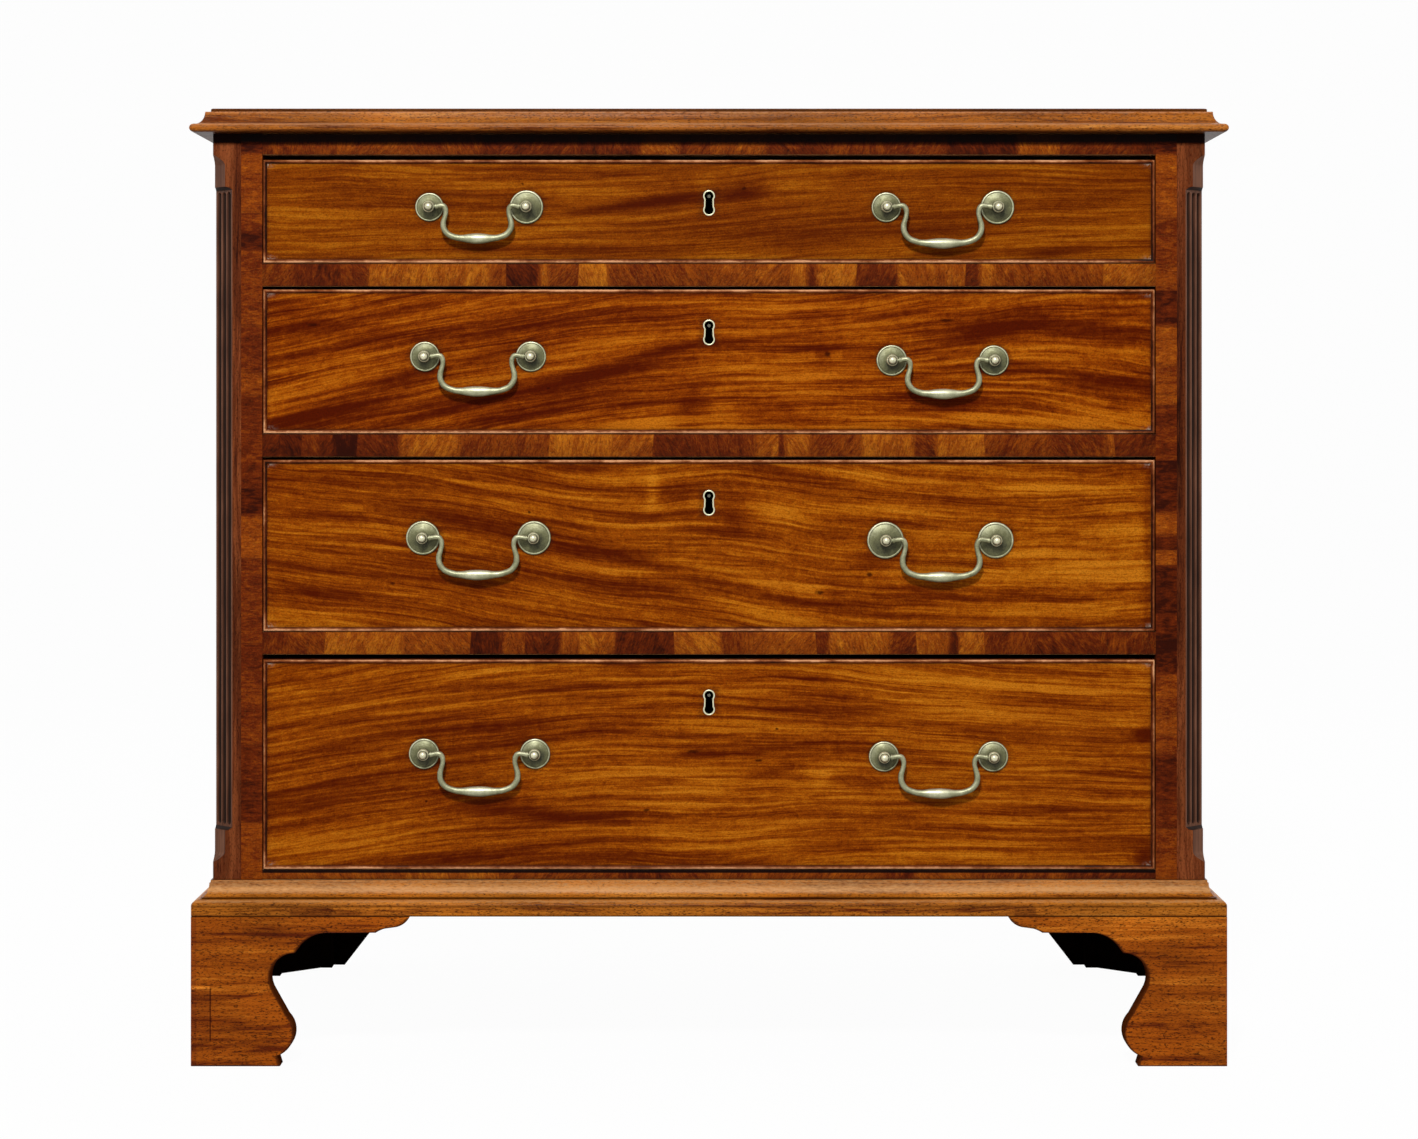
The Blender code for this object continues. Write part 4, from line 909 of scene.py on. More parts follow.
def make_base_moulding(sizes):
    """The moulding's section carried round the case on a path with worn mitres."""
    low, high = corners("base_moulding")
    out_most = high[0] - CASE_HALF
    base, top = low[2], high[2]
    fascia, bead, quirk, fillet, fillet_out, touch = 0.0092, 0.0050, 0.0014, 0.0026, 0.0020, 0.0003
    quirk_out = out_most - 0.0046 - bead / 2
    turn = np.linspace(0, math.pi / 2, 9)[1:]
    cove_foot = base + fascia + bead + quirk
    cove_head = top - fillet
    bead_line = np.column_stack((
        out_most - (out_most - quirk_out) * (1 - np.cos(turn)), base + fascia + bead * np.sin(turn),
    ))
    cove_out = quirk_out - touch - fillet_out - 0.0010
    cove_line = np.column_stack((
        quirk_out - touch - cove_out * np.sin(turn), cove_foot + (cove_head - cove_foot) * (1 - np.cos(turn)),
    ))
    section = np.concatenate((
        [(touch, base), (out_most - 0.0004, base), (out_most, base + 0.0004), (out_most, base + 0.0020),
         (out_most, base + fascia - 0.0016), (out_most, base + fascia - 0.0004)],
        bead_line,
        [(quirk_out - 0.0012, cove_foot - quirk * 0.6), (quirk_out - touch, cove_foot)],
        cove_line,
        [(fillet_out, cove_head), (fillet_out, top - 0.0003), (fillet_out - 0.0003, top), (touch, top)],
    ))
    out, z = section.T
    # Painted light and shade along the section: dark under the fascia, below the bead, in the quirk and along
    # the top, with painted highlights on the bead and high on the cove
    wear = np.concatenate((
        (-0.8, -0.8, -0.8, 0.0, 0.0, -0.6),
        np.interp(turn, (0.2, 0.8, 1.2, 1.57), (-0.3, 0.5, 0.4, -0.5)), (-0.8, -0.7),
        np.interp(turn, (0.2, 0.6, 0.8, 1.0, 1.2, 1.4, 1.57), (-0.2, 0.05, 0.35, 0.90, 0.85, 0.5, 0.35)),
        (0.4, 0.5, -0.9, -0.9),
    ))
    radius = sizes.corner_wear
    stations = [np.column_stack((-CASE_HALF - out, np.full(len(out), high[1]), z))]
    for angle in np.linspace(0, math.pi / 2, 5):
        stations.append(np.column_stack((
            -CASE_HALF - out + radius * (1 - math.cos(angle)),
            FRONT - out + radius * (1 - math.sin(angle)),
            z,
        )))
    mirrored = [station * (-1, 1, 1) for station in reversed(stations)]
    points, faces = loft(np.array(stations + mirrored))
    make_piece(
        "moulding_round_base", "case", [finishes()["moulding"]], points, faces,
        {"wear": np.tile(wear, len(stations + mirrored))}, replaced=("base_moulding",),
    )


def arc_points(start, end, bulge, steps):
    """Points after start on the arc to end whose height is bulge times half its chord."""
    start, end = np.array(start), np.array(end)
    if not bulge:
        return start + (end - start) * np.linspace(0, 1, 5)[1:, None]
    angle = 4 * math.atan(bulge)
    chord = end - start
    length = np.linalg.norm(chord)
    radius = length / (2 * math.sin(angle / 2))
    centre = (start + end) / 2 + np.array((chord[1], -chord[0])) / length * radius * math.cos(angle / 2)
    spoke = start - centre
    turn = -angle * np.linspace(0, 1, steps + 1)[1:]
    return centre + np.column_stack((
        spoke[0] * np.cos(turn) - spoke[1] * np.sin(turn), spoke[0] * np.sin(turn) + spoke[1] * np.cos(turn),
    ))


def bracket_rings(length, height, thickness, worn):
    """A shaped bracket, mitred at the corner, as rings across it from the toe to the tip. Each ring
    joins a point of the shaped edge to its partner on the straight outer edge: the partner climbs the
    corner while the edge is below the knee, then runs along the top to the tip."""
    edge = [np.array([(FOOT_EDGE[0][0] * length, 0.0)])]
    for (u0, z0, _), (u1, z1, bulge) in zip(FOOT_EDGE, FOOT_EDGE[1:]):
        edge.append(arc_points((u0 * length, z0 * height), (u1 * length, z1 * height), bulge, 12))
    edge = np.concatenate(edge)
    u, z = edge.T
    knee = np.argmax(z >= FOOT_KNEE * height - 1e-9)
    climb = np.minimum(z / z[knee], 1.0) * height
    along = np.clip((u - u[knee]) / (length - u[knee]), 0, 1) * length
    outer_u = np.where(np.arange(len(u)) <= knee, 0.0, along)
    outer_z = np.where(np.arange(len(u)) <= knee, climb, height)
    toward = np.column_stack((outer_u - u, outer_z - z))
    reach = np.maximum(np.linalg.norm(toward, axis=1, keepdims=True), 1e-6)
    toward /= reach
    rounding = np.minimum(0.0012, reach * 0.3)
    columns = []
    near = 1 - np.minimum(0.0014 / reach[:, 0], 0.3)
    for share in (*np.linspace(0, 0.84, 6), near, 1.0):
        columns.append((
            outer_u * (1 - share) + (u + toward[:, 0] * rounding[:, 0]) * share
            + worn * (1 - share) * (outer_u < worn),
            outer_z * (1 - share) + (z + toward[:, 1] * rounding[:, 0]) * share,
            np.zeros(len(u)),
        ))
    for angle in np.linspace(0, math.pi / 2, 4)[1:]:
        back = rounding[:, 0] * (1 - math.sin(angle))
        deep = rounding[:, 0] * (1 - math.cos(angle))
        columns.append((u + toward[:, 0] * back, z + toward[:, 1] * back, deep))
    columns.append((u, z, np.full(len(u), thickness)))
    columns.append((np.maximum(outer_u, thickness), outer_z, np.full(len(u), thickness)))
    columns.append((np.maximum(outer_u, worn / 2), outer_z, np.full(len(u), worn / 2) * (outer_u < worn)))
    return np.stack([np.column_stack(column) for column in columns], axis=1)


def make_feet(sizes):
    """Front and side brackets meet in a mitre, with a glue block behind. A rear foot has a slanted
    board at its back instead of a second shaped bracket."""
    made = finishes()
    low, high = corners("front_foot_right")
    edge, face = high[0], low[1]
    length = high[0] - low[0]
    height = high[2]
    thickness = sizes.foot_thickness
    behind = thickness + 0.0003
    shaped = bracket_rings(length, height, thickness, 0.0010)
    out, up, deep = shaped[..., 0], shaped[..., 1], shaped[..., 2]
    block = sizes.glue_block
    # The shaped edge, which faces down and inwards, and its rounding are painted dark as shade, here and by
    # their dark material
    wear = np.tile(np.concatenate((np.zeros(7), (-0.7, -0.9, -0.9, -0.9, -1.0, -1.0, 0.0))), len(shaped))
    around = np.arange(shaped.shape[1])
    edge_numbers = np.concatenate((np.tile((around > 7) & (around < 13), len(shaped) - 1), (True, True)))
    for side, hand in SIDES:
        front = loft(np.stack(((edge - out) * hand, face + deep, up), axis=-1))
        flank = loft(np.stack(((edge - deep) * hand, face + out, up), axis=-1))
        inner = edge - behind
        x0, x1 = sorted((inner * hand, (inner - block) * hand))
        glue = loft(box_ring(
            (x0, face + behind, 0.010), (x1, face + thickness + block, height - 0.0010), 0.0015,
        ))
        points, faces, owners = together((front, flank, glue))
        brackets = owners[:2 * len(edge_numbers)]
        brackets[np.tile(edge_numbers, 2)] = 3
        make_piece(
            f"bracket_foot_{side}", "case",
            [made[key] for key in ("foot", "foot_side", "block", "foot_edge")], points, faces,
            {"wear": np.concatenate((wear, wear, np.zeros(len(glue[0]))))}, owners,
            replaced=("front_foot_" + side,),
        )
        squared = out.copy()
        squared[:, -2] = out[:, -1]
        flank = loft(np.stack(((edge - deep) * hand, BACK - squared, up), axis=-1))
        start = thickness + 0.0002
        slant = np.array(((start, 0.0), (REAR_FOOT_BASE, 0.0), (REAR_FOOT_TOP, height), (start, height)))
        rear = loft(np.stack([
            np.column_stack(((edge - slant[:, 0]) * hand, np.full(4, y), slant[:, 1]))
            for y in (BACK - thickness, BACK)
        ]))
        plan = np.array((
            (behind, behind), (behind, REAR_BLOCK_REACH), *REAR_BLOCK_CORNERS,
            (REAR_BLOCK_CORNERS[-1][0], behind),
        ))
        glue = loft(np.stack([
            np.column_stack(((edge - plan[:, 0]) * hand, BACK - plan[:, 1], np.full(len(plan), z)))
            for z in (0.0010, height - 0.0010)
        ]))
        points, faces, owners = together((flank, rear, glue))
        owners[:len(edge_numbers)] = edge_numbers
        owners[len(flank[1]) + len(rear[1]) - 1] = 3
        make_piece(
            f"rear_bracket_foot_{side}", "case",
            [made[key] for key in ("foot_side", "block", "block", "foot_back")], points, faces,
            {"wear": np.concatenate((wear, np.zeros(len(rear[0]) + len(glue[0]))))}, owners,
            replaced=("rear_foot_" + side,),
        )


def blend_widths(count):
    """Half the width over which two neighbouring patches blend: every third joint is crisp."""
    return np.where(np.arange(count) % 3 == 1, 0.0004, 0.0026)


def blended(at, joints, widths, tones):
    """Tones of a row of patches at places along it, each step between two being a straight ramp."""
    share = np.clip((at[:, None] - joints) / (2 * widths) + 0.5, 0, 1)
    return tones[0] + (share * np.diff(tones)).sum(1)


def make_corner_posts(sizes):
    """A post's surface is a plan carried up in Z. The cant's leg is a function of the height: a small
    arris at the ends, a quarter sine up the lamb's tongue, a neck, a ledge and the fluted length. Each
    flute sinks the cant by the height of a circle's segment, and ends in a quarter sphere."""
    low, high = corners("corner_post_right")
    inner = low[0]
    depth = high[1]
    proud = sizes.veneer_proud
    arris, neck, full = 0.0007, 0.0108, 0.0172
    tongue, neck_length, ledge = 0.0095, 0.0185, 0.0030
    low_tongue = corners("base_moulding")[1][2] + 0.0156
    high_tongue = high[2] - 0.0186
    stop = tongue + neck_length + ledge + 0.0015
    length = high[2] - low[2]
    ledge_low = tongue + neck_length
    rise = np.concatenate((
        np.linspace(0, tongue, 12), np.linspace(tongue, ledge_low, 6)[1:],
        ledge_low + ledge * np.linspace(0, 1, 7)[1:], np.linspace(ledge_low + ledge, stop + 0.004, 12)[1:],
    ))
    middle = np.linspace(low_tongue + stop + 0.004, high_tongue - stop - 0.004, 60)
    shadow = high[2] - np.array((0.0066, 0.0090))
    shares = [share for patches in STILE_PATCHES.values() for share, _ in patches[:-1]]
    joints = high[2] - length * np.array(shares)
    soft = np.concatenate([blend_widths(len(patches) - 1) for patches in STILE_PATCHES.values()])
    z = np.unique(np.round(np.concatenate((
        [low[2], low_tongue - 0.001], low_tongue + rise, middle[1:-1], high_tongue - rise[::-1],
        [high_tongue + 0.001, high[2]], shadow, joints - 0.0004, joints + 0.0004, joints - soft,
        joints + soft,
    )), 6))
    along = np.minimum(z - low_tongue, high_tongue - z)
    share = np.clip(along / tongue, 0, 1)
    leg = arris + (neck - arris) * np.sin(share * math.pi / 2)
    climb = np.clip((along - tongue - neck_length) / ledge, 0, 1)
    leg = leg + (full - neck) * climb**0.6
    radius, pitch = sizes.flute_radius, sizes.flute_pitch
    # How many points of the plan lie on the stile, and on the cant
    flat, canted = 8, 61
    across = np.linspace(-0.5, 0.5, canted)
    width = leg[:, None] * math.sqrt(2)
    position = across[None, :] * width
    ends = np.clip(stop + radius - along, 0, None)[:, None]
    sink = np.zeros_like(position)
    for number in (-1, 0, 1):
        square = radius**2 - (position - number * pitch) ** 2 - ends**2
        sink = np.maximum(sink, np.sqrt(np.clip(square, 0, None)) * sizes.flute_depth / radius)
    sink *= (climb > 0.99)[:, None]
    groove = sink * math.sqrt(0.5)
    front_y = FRONT - proud
    # The plan runs over the stile, the cant, the side, the back and the inner face
    stile_x = np.linspace(inner, CASE_HALF - full - 0.0003, flat)
    rows = len(z)
    stile = np.stack((
        np.broadcast_to(stile_x, (rows, flat)), np.full((rows, flat), front_y),
    ), axis=-1)
    start = np.stack((CASE_HALF - leg, np.full(rows, front_y)), axis=-1)
    end = np.stack((np.full(rows, CASE_HALF), front_y + leg), axis=-1)
    cant = start[:, None] + (end - start)[:, None] * (across[None, :, None] + 0.5)
    cant = cant + np.stack((-groove, groove), axis=-1)
    rest = np.broadcast_to(np.array(((CASE_HALF, depth), (inner, depth))), (rows, 2, 2))
    plan = np.concatenate((stile, cant, rest), axis=1)
    columns = plan.shape[1]
    height = np.broadcast_to(z[:, None, None], (rows, columns, 1))
    band_end = flat - 3
    made = finishes()
    for side, hand in SIDES:
        rings = np.concatenate((plan * (hand, 1), height), axis=-1)
        points, faces = loft(rings)
        column = np.tile(np.arange(columns), rows - 1)
        on_cant = (column >= flat) & (column < flat + canted - 1)
        numbers = np.where(column < band_end, 0, np.where(on_cant, 2, 1))
        patches = STILE_PATCHES[side]
        ends_at = np.array([1 - share for share, _ in patches])
        tones = np.array([tone for _, tone in patches])
        place = (points[:, 2] - low[2]) / length
        index = np.clip(np.searchsorted(-ends_at, -place, side="right"), 0, len(tones) - 1)
        tones = 0.25 + 0.78 * (tones - 0.30)
        cuts = (1 - ends_at[:-1]) * length
        tone_points = blended((1 - place) * length, cuts, blend_widths(len(cuts)), tones)
        grain = np.stack((points[:, 0] * hand, points[:, 2], index * 3.0), axis=-1)
        upper = np.where(index > 0, ends_at[np.maximum(index - 1, 0)], 1.0)
        near = np.minimum(np.abs(place - ends_at[index]), np.abs(upper - place)) * length
        # Painted shadow of the top's overhang on the post's top
        painted_top_shadow = (points[:, 2] > shadow[0] - 1e-5).astype(float)
        border = np.maximum(np.clip(1 - near / 0.0010, 0, 1) * 0.25, painted_top_shadow)
        wear = np.ones((rows, columns))
        wear[:, :flat] = 0.0
        wear[:, flat - 1] = 0.15
        rub_and_shading = wear[:, flat:flat + canted]
        fluted = (climb > 0.5)[:, None]
        rub_and_shading[:] = np.where(fluted, 0.66 - 0.85 * sink / sizes.flute_depth, 0.68)
        rub_and_shading[:, 0] = np.where(climb > 0.5, 0.66, 0.15)
        rub_and_shading -= 0.75 * ((climb > 0) & (climb < 0.99))[:, None]
        rub_and_shading += 0.10 * (side == "right")
        # The same painted shadow on the stile and the cant
        wear -= 2.0 * painted_top_shadow.reshape(rows, columns)
        make_piece(
            f"fluted_corner_{side}", "case",
            [made[key] for key in ("banding", "stile", "corner")], points, faces,
            {"tone": tone_points, "grain": grain, "border": border, "wear": wear},
            np.concatenate((numbers, (1, 1))), 24.0, ("corner_post_" + side,),
        )


def make_rail_banding(sizes):
    """A slip of crossbanded veneer on each rail: a box whose columns stand at the patches' joints, which
    lean by a sine of their number. Each patch has its tone as an attribute, and its grain turned by
    another sine. Under the top a band is painted dark as the shadow of the top's overhang, and along
    the foot of the last drawer as the shade of the gap."""
    made = finishes()
    proud = sizes.veneer_proud
    for number, (node, patches) in enumerate(BANDS.items()):
        low, high = corners(node)
        z0, z1 = low[2], low[2] + RAIL_HEIGHT
        # Depth of the band at the rail's top that is painted dark, and of its fade: the shadow of the top's
        # overhang on the top rail, and the shade of the gap under the last drawer on the base rail
        shadow, fade = 0.0, 0.0004
        if node == "case_top":
            z0, z1 = corners("drawer_1_front")[1][2] + 0.0045, high[2]
            shadow, fade = 0.0062, 0.0108
        elif node == "case_bottom":
            z0, z1 = corners("base_moulding")[1][2] + 0.0003, corners("drawer_4_front")[0][2] - 0.0005
            shadow, fade = 0.0020, 0.0028
        joints = np.array([-1.0] + [2 * share - 1 for share, _ in patches]) * OPENING_HALF
        line = 0.0004
        within = joints[1:-1]
        soft = blend_widths(len(within))
        x = np.unique(np.concatenate((
            joints, within - line, within + line, within - soft, within + soft,
            np.linspace(-OPENING_HALF, OPENING_HALF, 50),
        )).clip(-OPENING_HALF, OPENING_HALF))
        ease = 0.0006
        face = FRONT - proud
        section = np.array((
            (FRONT + 0.0008, z0 + 0.0001), (FRONT, z0 + 0.0001), (face, z0 + ease),
            (face, z1 - fade - ease), (face, z1 - shadow - ease), (face, z1 - ease),
            (FRONT, z1 - 0.0001), (FRONT + 0.0008, z1 - 0.0001),
        ))
        slopes = np.sin(np.arange(len(joints)) * 2.3 + number) * (np.abs(joints) < OPENING_HALF - 0.001)
        slant = np.interp(x, joints, slopes)
        lean = (section[:, 1] - (z0 + z1) / 2) * 0.08
        points, faces = loft(np.stack([np.column_stack((at + s * lean, section)) for at, s in zip(x, slant)]))
        corners_round = len(section)
        tones = np.array([tone for _, tone in patches])
        tones = 0.27 + 0.85 * (tones - 0.30) + BAND_SHIFTS.get(node, 0.0)
        tone = np.repeat(blended(x, within, soft, tones), corners_round)
        index = np.repeat(np.clip(np.searchsorted(joints, x) - 1, 0, len(patches) - 1), corners_round)
        turn = np.sin(index * 1.9 + number) * 0.7
        grain = np.stack((
            points[:, 2] * np.cos(turn) + points[:, 0] * np.sin(turn),
            points[:, 0] * np.cos(turn) - points[:, 2] * np.sin(turn), number * 1.3 + index * 0.7,
        ), axis=-1)
        near = np.abs(x[:, None] - joints[None, :]).min(1)
        # Darkness of each point of the section: soiling and painted shade at the eased edges beside the
        # drawers' gaps, and the painted band at the top
        painted_dark = np.array((0.8, 0.8, 0.3, 0.0, 1.0 if shadow else 0.0, 1.0 if shadow else 0.3, 1.0, 1.0))
        joint = np.repeat((1 - near / line).clip(0, 1) * 0.3, corners_round)
        make_piece(
            f"{node}_banding", "case", [made["banding"]], points, faces,
            {"tone": tone, "grain": grain, "border": np.maximum(joint, np.tile(painted_dark, len(x)))}, angle=20.0,
        )


def make_back_boards(sizes):
    """Upright boards with eased edges side by side, each a box swept along X, and rows of nail heads."""
    low, high = corners("back_panel")
    count = sizes.back_boards
    edges = np.linspace(low[0], high[0], count + 1)
    edges[1:-1] += np.resize((0.012, -0.009, 0.006, -0.011), count - 1)
    face = high[1] - 0.0006
    boards = [
        loft(box_ring((left + 0.00001, low[1], low[2]), (right - 0.00001, face, high[2]), 0.0010))
        for left, right in zip(edges, edges[1:])
    ]
    made = finishes()
    seams = tuple((x, 0.45, 0.0010, 0.5, (0.16, 0.13, 0.12)) for x in edges[1:-1])
    tones = linear(108, 74, 42), linear(152, 108, 64), linear(182, 136, 86)
    tints = [
        solid_wood(
            f"back_board_{number}", [shaded(tone, factor) for tone in tones], "Z", 50.0 + 7 * number, 0.74,
            1.3, 0.25, 0.0002, patches=seams,
        )
        for number, factor in enumerate(np.resize((1.0, 0.88, 1.08, 0.94, 1.03), count))
    ]
    points, faces, owners = together(boards)
    make_piece("back_boards", "case", tints, points, faces, numbers=owners, replaced=("back_panel",))
    turn = full_turn(10)
    nails = []
    heads = np.array(((0.0028, -0.0004), (0.0028, 0.0002), (0.0020, 0.0005), (0.0008, 0.0006)))
    for left, right in zip(edges, edges[1:]):
        for x in (left + 0.022, right - 0.022):
            for z in (low[2] + 0.012, low[2] + 0.25, low[2] + 0.43, high[2] - 0.012):
                rings = np.stack([
                    np.column_stack((x + r * np.cos(turn), np.full(10, face + y), z + r * np.sin(turn)))
                    for r, y in heads
                ])
                nails.append(loft(rings))
    points, faces, _ = together(nails)
    make_piece("back_nails", "case", [made["steel"]], points, faces)


def finish_carcass():
    """Gives the solids that stay in sight their woods and metals. The rails are pine, and the banding
    covers them at the front."""
    made = finishes()
    for side, _ in SIDES:
        set_finish("side_" + side, made["side"])
    for node in BANDS:
        set_finish(node, made["inside"])
    for drawer in DRAWERS:
        set_finish(drawer + "_front", made["ground"])
        set_finish(drawer + "_box", made["oak"])
        set_finish(drawer + "_bottom", made["oak_across"])
        set_finish(drawer + "_lock", made[drawer + "_lock"])
        set_finish(drawer + "_bolt", made["steel"])


def set_finish(node, material):
    obj = frame["nodes"][node]
    for place in obj.material_slots:
        place.material = material


# Pieces of the drawers


def keyhole_radius(angle, grow):
    """Distance from the keyhole's middle to its outline along each angle: the farthest of a circle
    above, a circle below, and the flared neck between them, all grown outwards."""
    dx, dz = np.cos(angle), np.sin(angle)
    far = np.zeros_like(angle)
    radius = 0.0036 + grow
    for middle in (KEYHOLE_CIRCLE_RISE, -KEYHOLE_FOOT_DROP):
        lean = middle * dz
        square = lean**2 - middle**2 + radius**2
        far = np.maximum(far, np.where(square > 0, lean + np.sqrt(np.clip(square, 0, None)), 0))
    flare = 0.04
    neck = (0.0027 + grow) / np.maximum(np.abs(dx) + flare * dz, 1e-6)
    inside = (neck * dz < KEYHOLE_CIRCLE_RISE) & (neck * dz > -KEYHOLE_FOOT_DROP)
    return np.where(inside, np.maximum(far, neck), far)


def keyhole_ring(middle, grow, y, angle):
    radius = keyhole_radius(angle, grow)
    return np.column_stack((radius * np.cos(angle), np.full(len(angle), y), middle + radius * np.sin(angle)))


def keyhole_middle(drawer):
    """Height of the keyhole's middle, from the top of the drawer's front."""
    return corners(drawer + "_front")[1][2] - KEYHOLE_DROP


def make_veneer(drawer, sizes):
    """A thin sheet inside the cockbead: a grid of points with a window round the keyhole, whose rim
    is joined to the keyhole's outline by straight lines. The grain attribute is the place along X and
    the height less the rise of the stripes, which is a smooth curve between two measured lines. The
    shade attribute is a sum of leaning bell curves."""
    low, high = corners(drawer + "_front")
    rim = 0.0031
    half, z0, z1 = high[0] - rim, low[2] + rim, high[2] - rim
    middle = keyhole_middle(drawer)
    window = 0.0110, 0.0150
    close = np.array((0.0, 0.0010, 0.0022))
    flank = np.concatenate((close - half, np.linspace(0.0045 - half, -window[0], 110)))
    x = np.concatenate((flank, np.linspace(-window[0], window[0], 9)[1:-1], -flank[::-1]))
    first, second = middle - window[1], middle + window[1]
    z = np.concatenate((
        z0 + close,
        np.linspace(z0 + 0.0045, first, max(4, int((first - z0) / 0.0025))),
        np.linspace(first, second, 11)[1:-1],
        np.linspace(second, z1 - 0.0045, max(4, int((z1 - second) / 0.0025))),
        z1 - close[::-1],
    ))
    columns, rows = len(x), len(z)
    c0 = len(flank) - 1
    c1 = c0 + 8
    r0 = int(np.argmin(np.abs(z - first)))
    r1 = int(np.argmin(np.abs(z - second)))
    grid_x, grid_z = np.meshgrid(x, z)
    flat = np.column_stack((grid_x.ravel(), grid_z.ravel()))
    quads = np.array(grid_faces(rows, columns))
    row, column = quads[:, 0] // columns, quads[:, 0] % columns
    quads = quads[~((row >= r0) & (row < r1) & (column >= c0) & (column < c1))]
    rim_loop = np.concatenate((
        r0 * columns + np.arange(c0, c1), np.arange(r0, r1) * columns + c1,
        r1 * columns + np.arange(c1, c0, -1), np.arange(r1, r0, -1) * columns + c0,
    ))
    around = flat[rim_loop] - (0.0, middle)
    angle = np.arctan2(around[:, 1], around[:, 0])
    hole = keyhole_ring(middle, 0.0012, 0.0, angle)[:, (0, 2)]
    start = len(flat)
    flat = np.concatenate((flat, hole))
    count = len(rim_loop)
    inner = start + np.arange(count)
    following = np.roll(np.arange(count), -1)
    quads = np.concatenate((quads, np.column_stack((rim_loop, rim_loop[following], inner[following], inner))))
    total = len(flat)
    outer_loop = np.concatenate((
        np.arange(columns - 1), np.arange(rows - 1) * columns + columns - 1,
        (rows - 1) * columns + np.arange(columns - 1, 0, -1), np.arange(rows - 1, 0, -1) * columns,
    ))
    walls = []
    for loop in (outer_loop, inner):
        after = np.roll(loop, -1)
        walls.append(np.column_stack((loop, after, after + total, loop + total)))
    faces = np.concatenate((quads, quads[:, ::-1] + total, *walls)).tolist()
    front_y, back_y = FRONT - sizes.veneer_proud, FRONT + 0.0002
    points = np.concatenate([
        np.column_stack((flat[:, 0], np.full(total, y), flat[:, 1])) for y in (front_y, back_y)
    ])
    stations = np.linspace(-high[0], high[0], 9)
    lower, upper = (curve_through(stations, np.array(f) / 1000, points[:, 0]) for f in FLOWS[drawer])
    share = (points[:, 2] - z0) / (z1 - z0)
    across = points[:, 2] - (lower * (1 - share) + upper * share)
    grain = np.stack((points[:, 0], across, np.zeros(len(points))), axis=-1)
    shade = np.zeros(len(points))
    for at, up, long, tall, slope, strength in FIGURES[drawer]:
        away = points[:, 0] * 1000 - at
        aside = (points[:, 2] - low[2]) * 1000 - up - slope * away
        shade += strength * np.exp(-((away / long) ** 2) - (aside / tall) ** 2)
    inside_x, inside_z = half - np.abs(points[:, 0]), np.minimum(points[:, 2] - z0, z1 - points[:, 2])
    edge = np.minimum(inside_x, inside_z)
    # A narrow dark line along the cockbead, painted shade in its crease, and a broad faint darker band
    border = np.clip(1 - edge / 0.0015, 0, 1) + 0.20 * np.clip(1 - edge / 0.010, 0, 1)
    dust = np.exp(-((inside_x / 0.0050) ** 2) - (inside_z / 0.0022) ** 2)
    # Painted shade in a ring round each rose
    for side, _ in SIDES:
        for end in ("a", "b"):
            rose_low, rose_high = corners(f"{drawer}_{side}_post_{end}")
            centre, radius = (rose_low + rose_high) / 2, (rose_high[0] - rose_low[0]) / 2
            away = np.hypot(points[:, 0] - centre[0], points[:, 2] - centre[2]) - radius
            border = np.maximum(border, 0.9 * np.clip(1 - away / 0.0030, 0, 1))
    # Dark round the keyhole's lining: soiling and painted shade
    away = np.hypot(points[:, 0], points[:, 2] - middle) - keyhole_radius(
        np.arctan2(points[:, 2] - middle, points[:, 0]), 0.0018,
    )
    border = np.maximum(border, np.clip(1 - away / 0.0016, 0, 1))
    make_piece(
        f"{drawer}_veneer", drawer, [finishes()[drawer]], points, faces,
        {"grain": grain, "border": border, "shade": shade, "dust": dust},
    )


def make_cockbead(drawer, sizes):
    """A half round carried round the drawer front on a mitred loop: its points lie at insets and
    depths of a circle's cosines and sines."""
    low, high = corners(drawer + "_front")
    radius = sizes.bead_radius
    turn = np.linspace(0, math.pi, 13)
    inset = np.concatenate(([0.0001], 0.0016 - radius * np.cos(turn), [0.0032]))
    inset = np.maximum(inset, 0.0001)
    y = np.concatenate(([FRONT + 0.0012], FRONT - (radius + 0.0002) * np.sin(turn), [FRONT + 0.0012]))
    stations = []
    for sx, sz in ((-1, -1), (1, -1), (1, 1), (-1, 1)):
        x = sx * (high[0] - inset)
        z = np.where(sz < 0, low[2] + inset, high[2] - inset)
        stations.append(np.column_stack((x, y, z)))
    rings = []
    for first, second in zip(stations, stations[1:] + stations[:1]):
        rings += [first + (second - first) * share for share in np.linspace(0, 1, 9)[:-1]]
    points, faces = hoop(np.array(rings))
    # Painted highlight along the crown, partly worn, and painted shade at the bead's feet; the upright beads,
    # and the top one a little, are darker, as painted shade where less light falls
    rub_and_shading = np.interp(
        turn, (0.0, 0.4, 0.8, 1.3, 1.8, 2.5, 2.9, 3.14), (-0.2, 0.35, 0.95, 0.9, 0.55, 0.35, 0.0, -0.3),
    )
    wear = np.concatenate(([0.0], rub_and_shading, [0.0]))
    wear = np.concatenate([np.tile(wear + more, 8) for more in (0.0, -0.36, -0.08, -0.32)])
    make_piece(
        f"{drawer}_cockbead", drawer, [finishes()["bead"]], points, faces, {"wear": wear},
    )


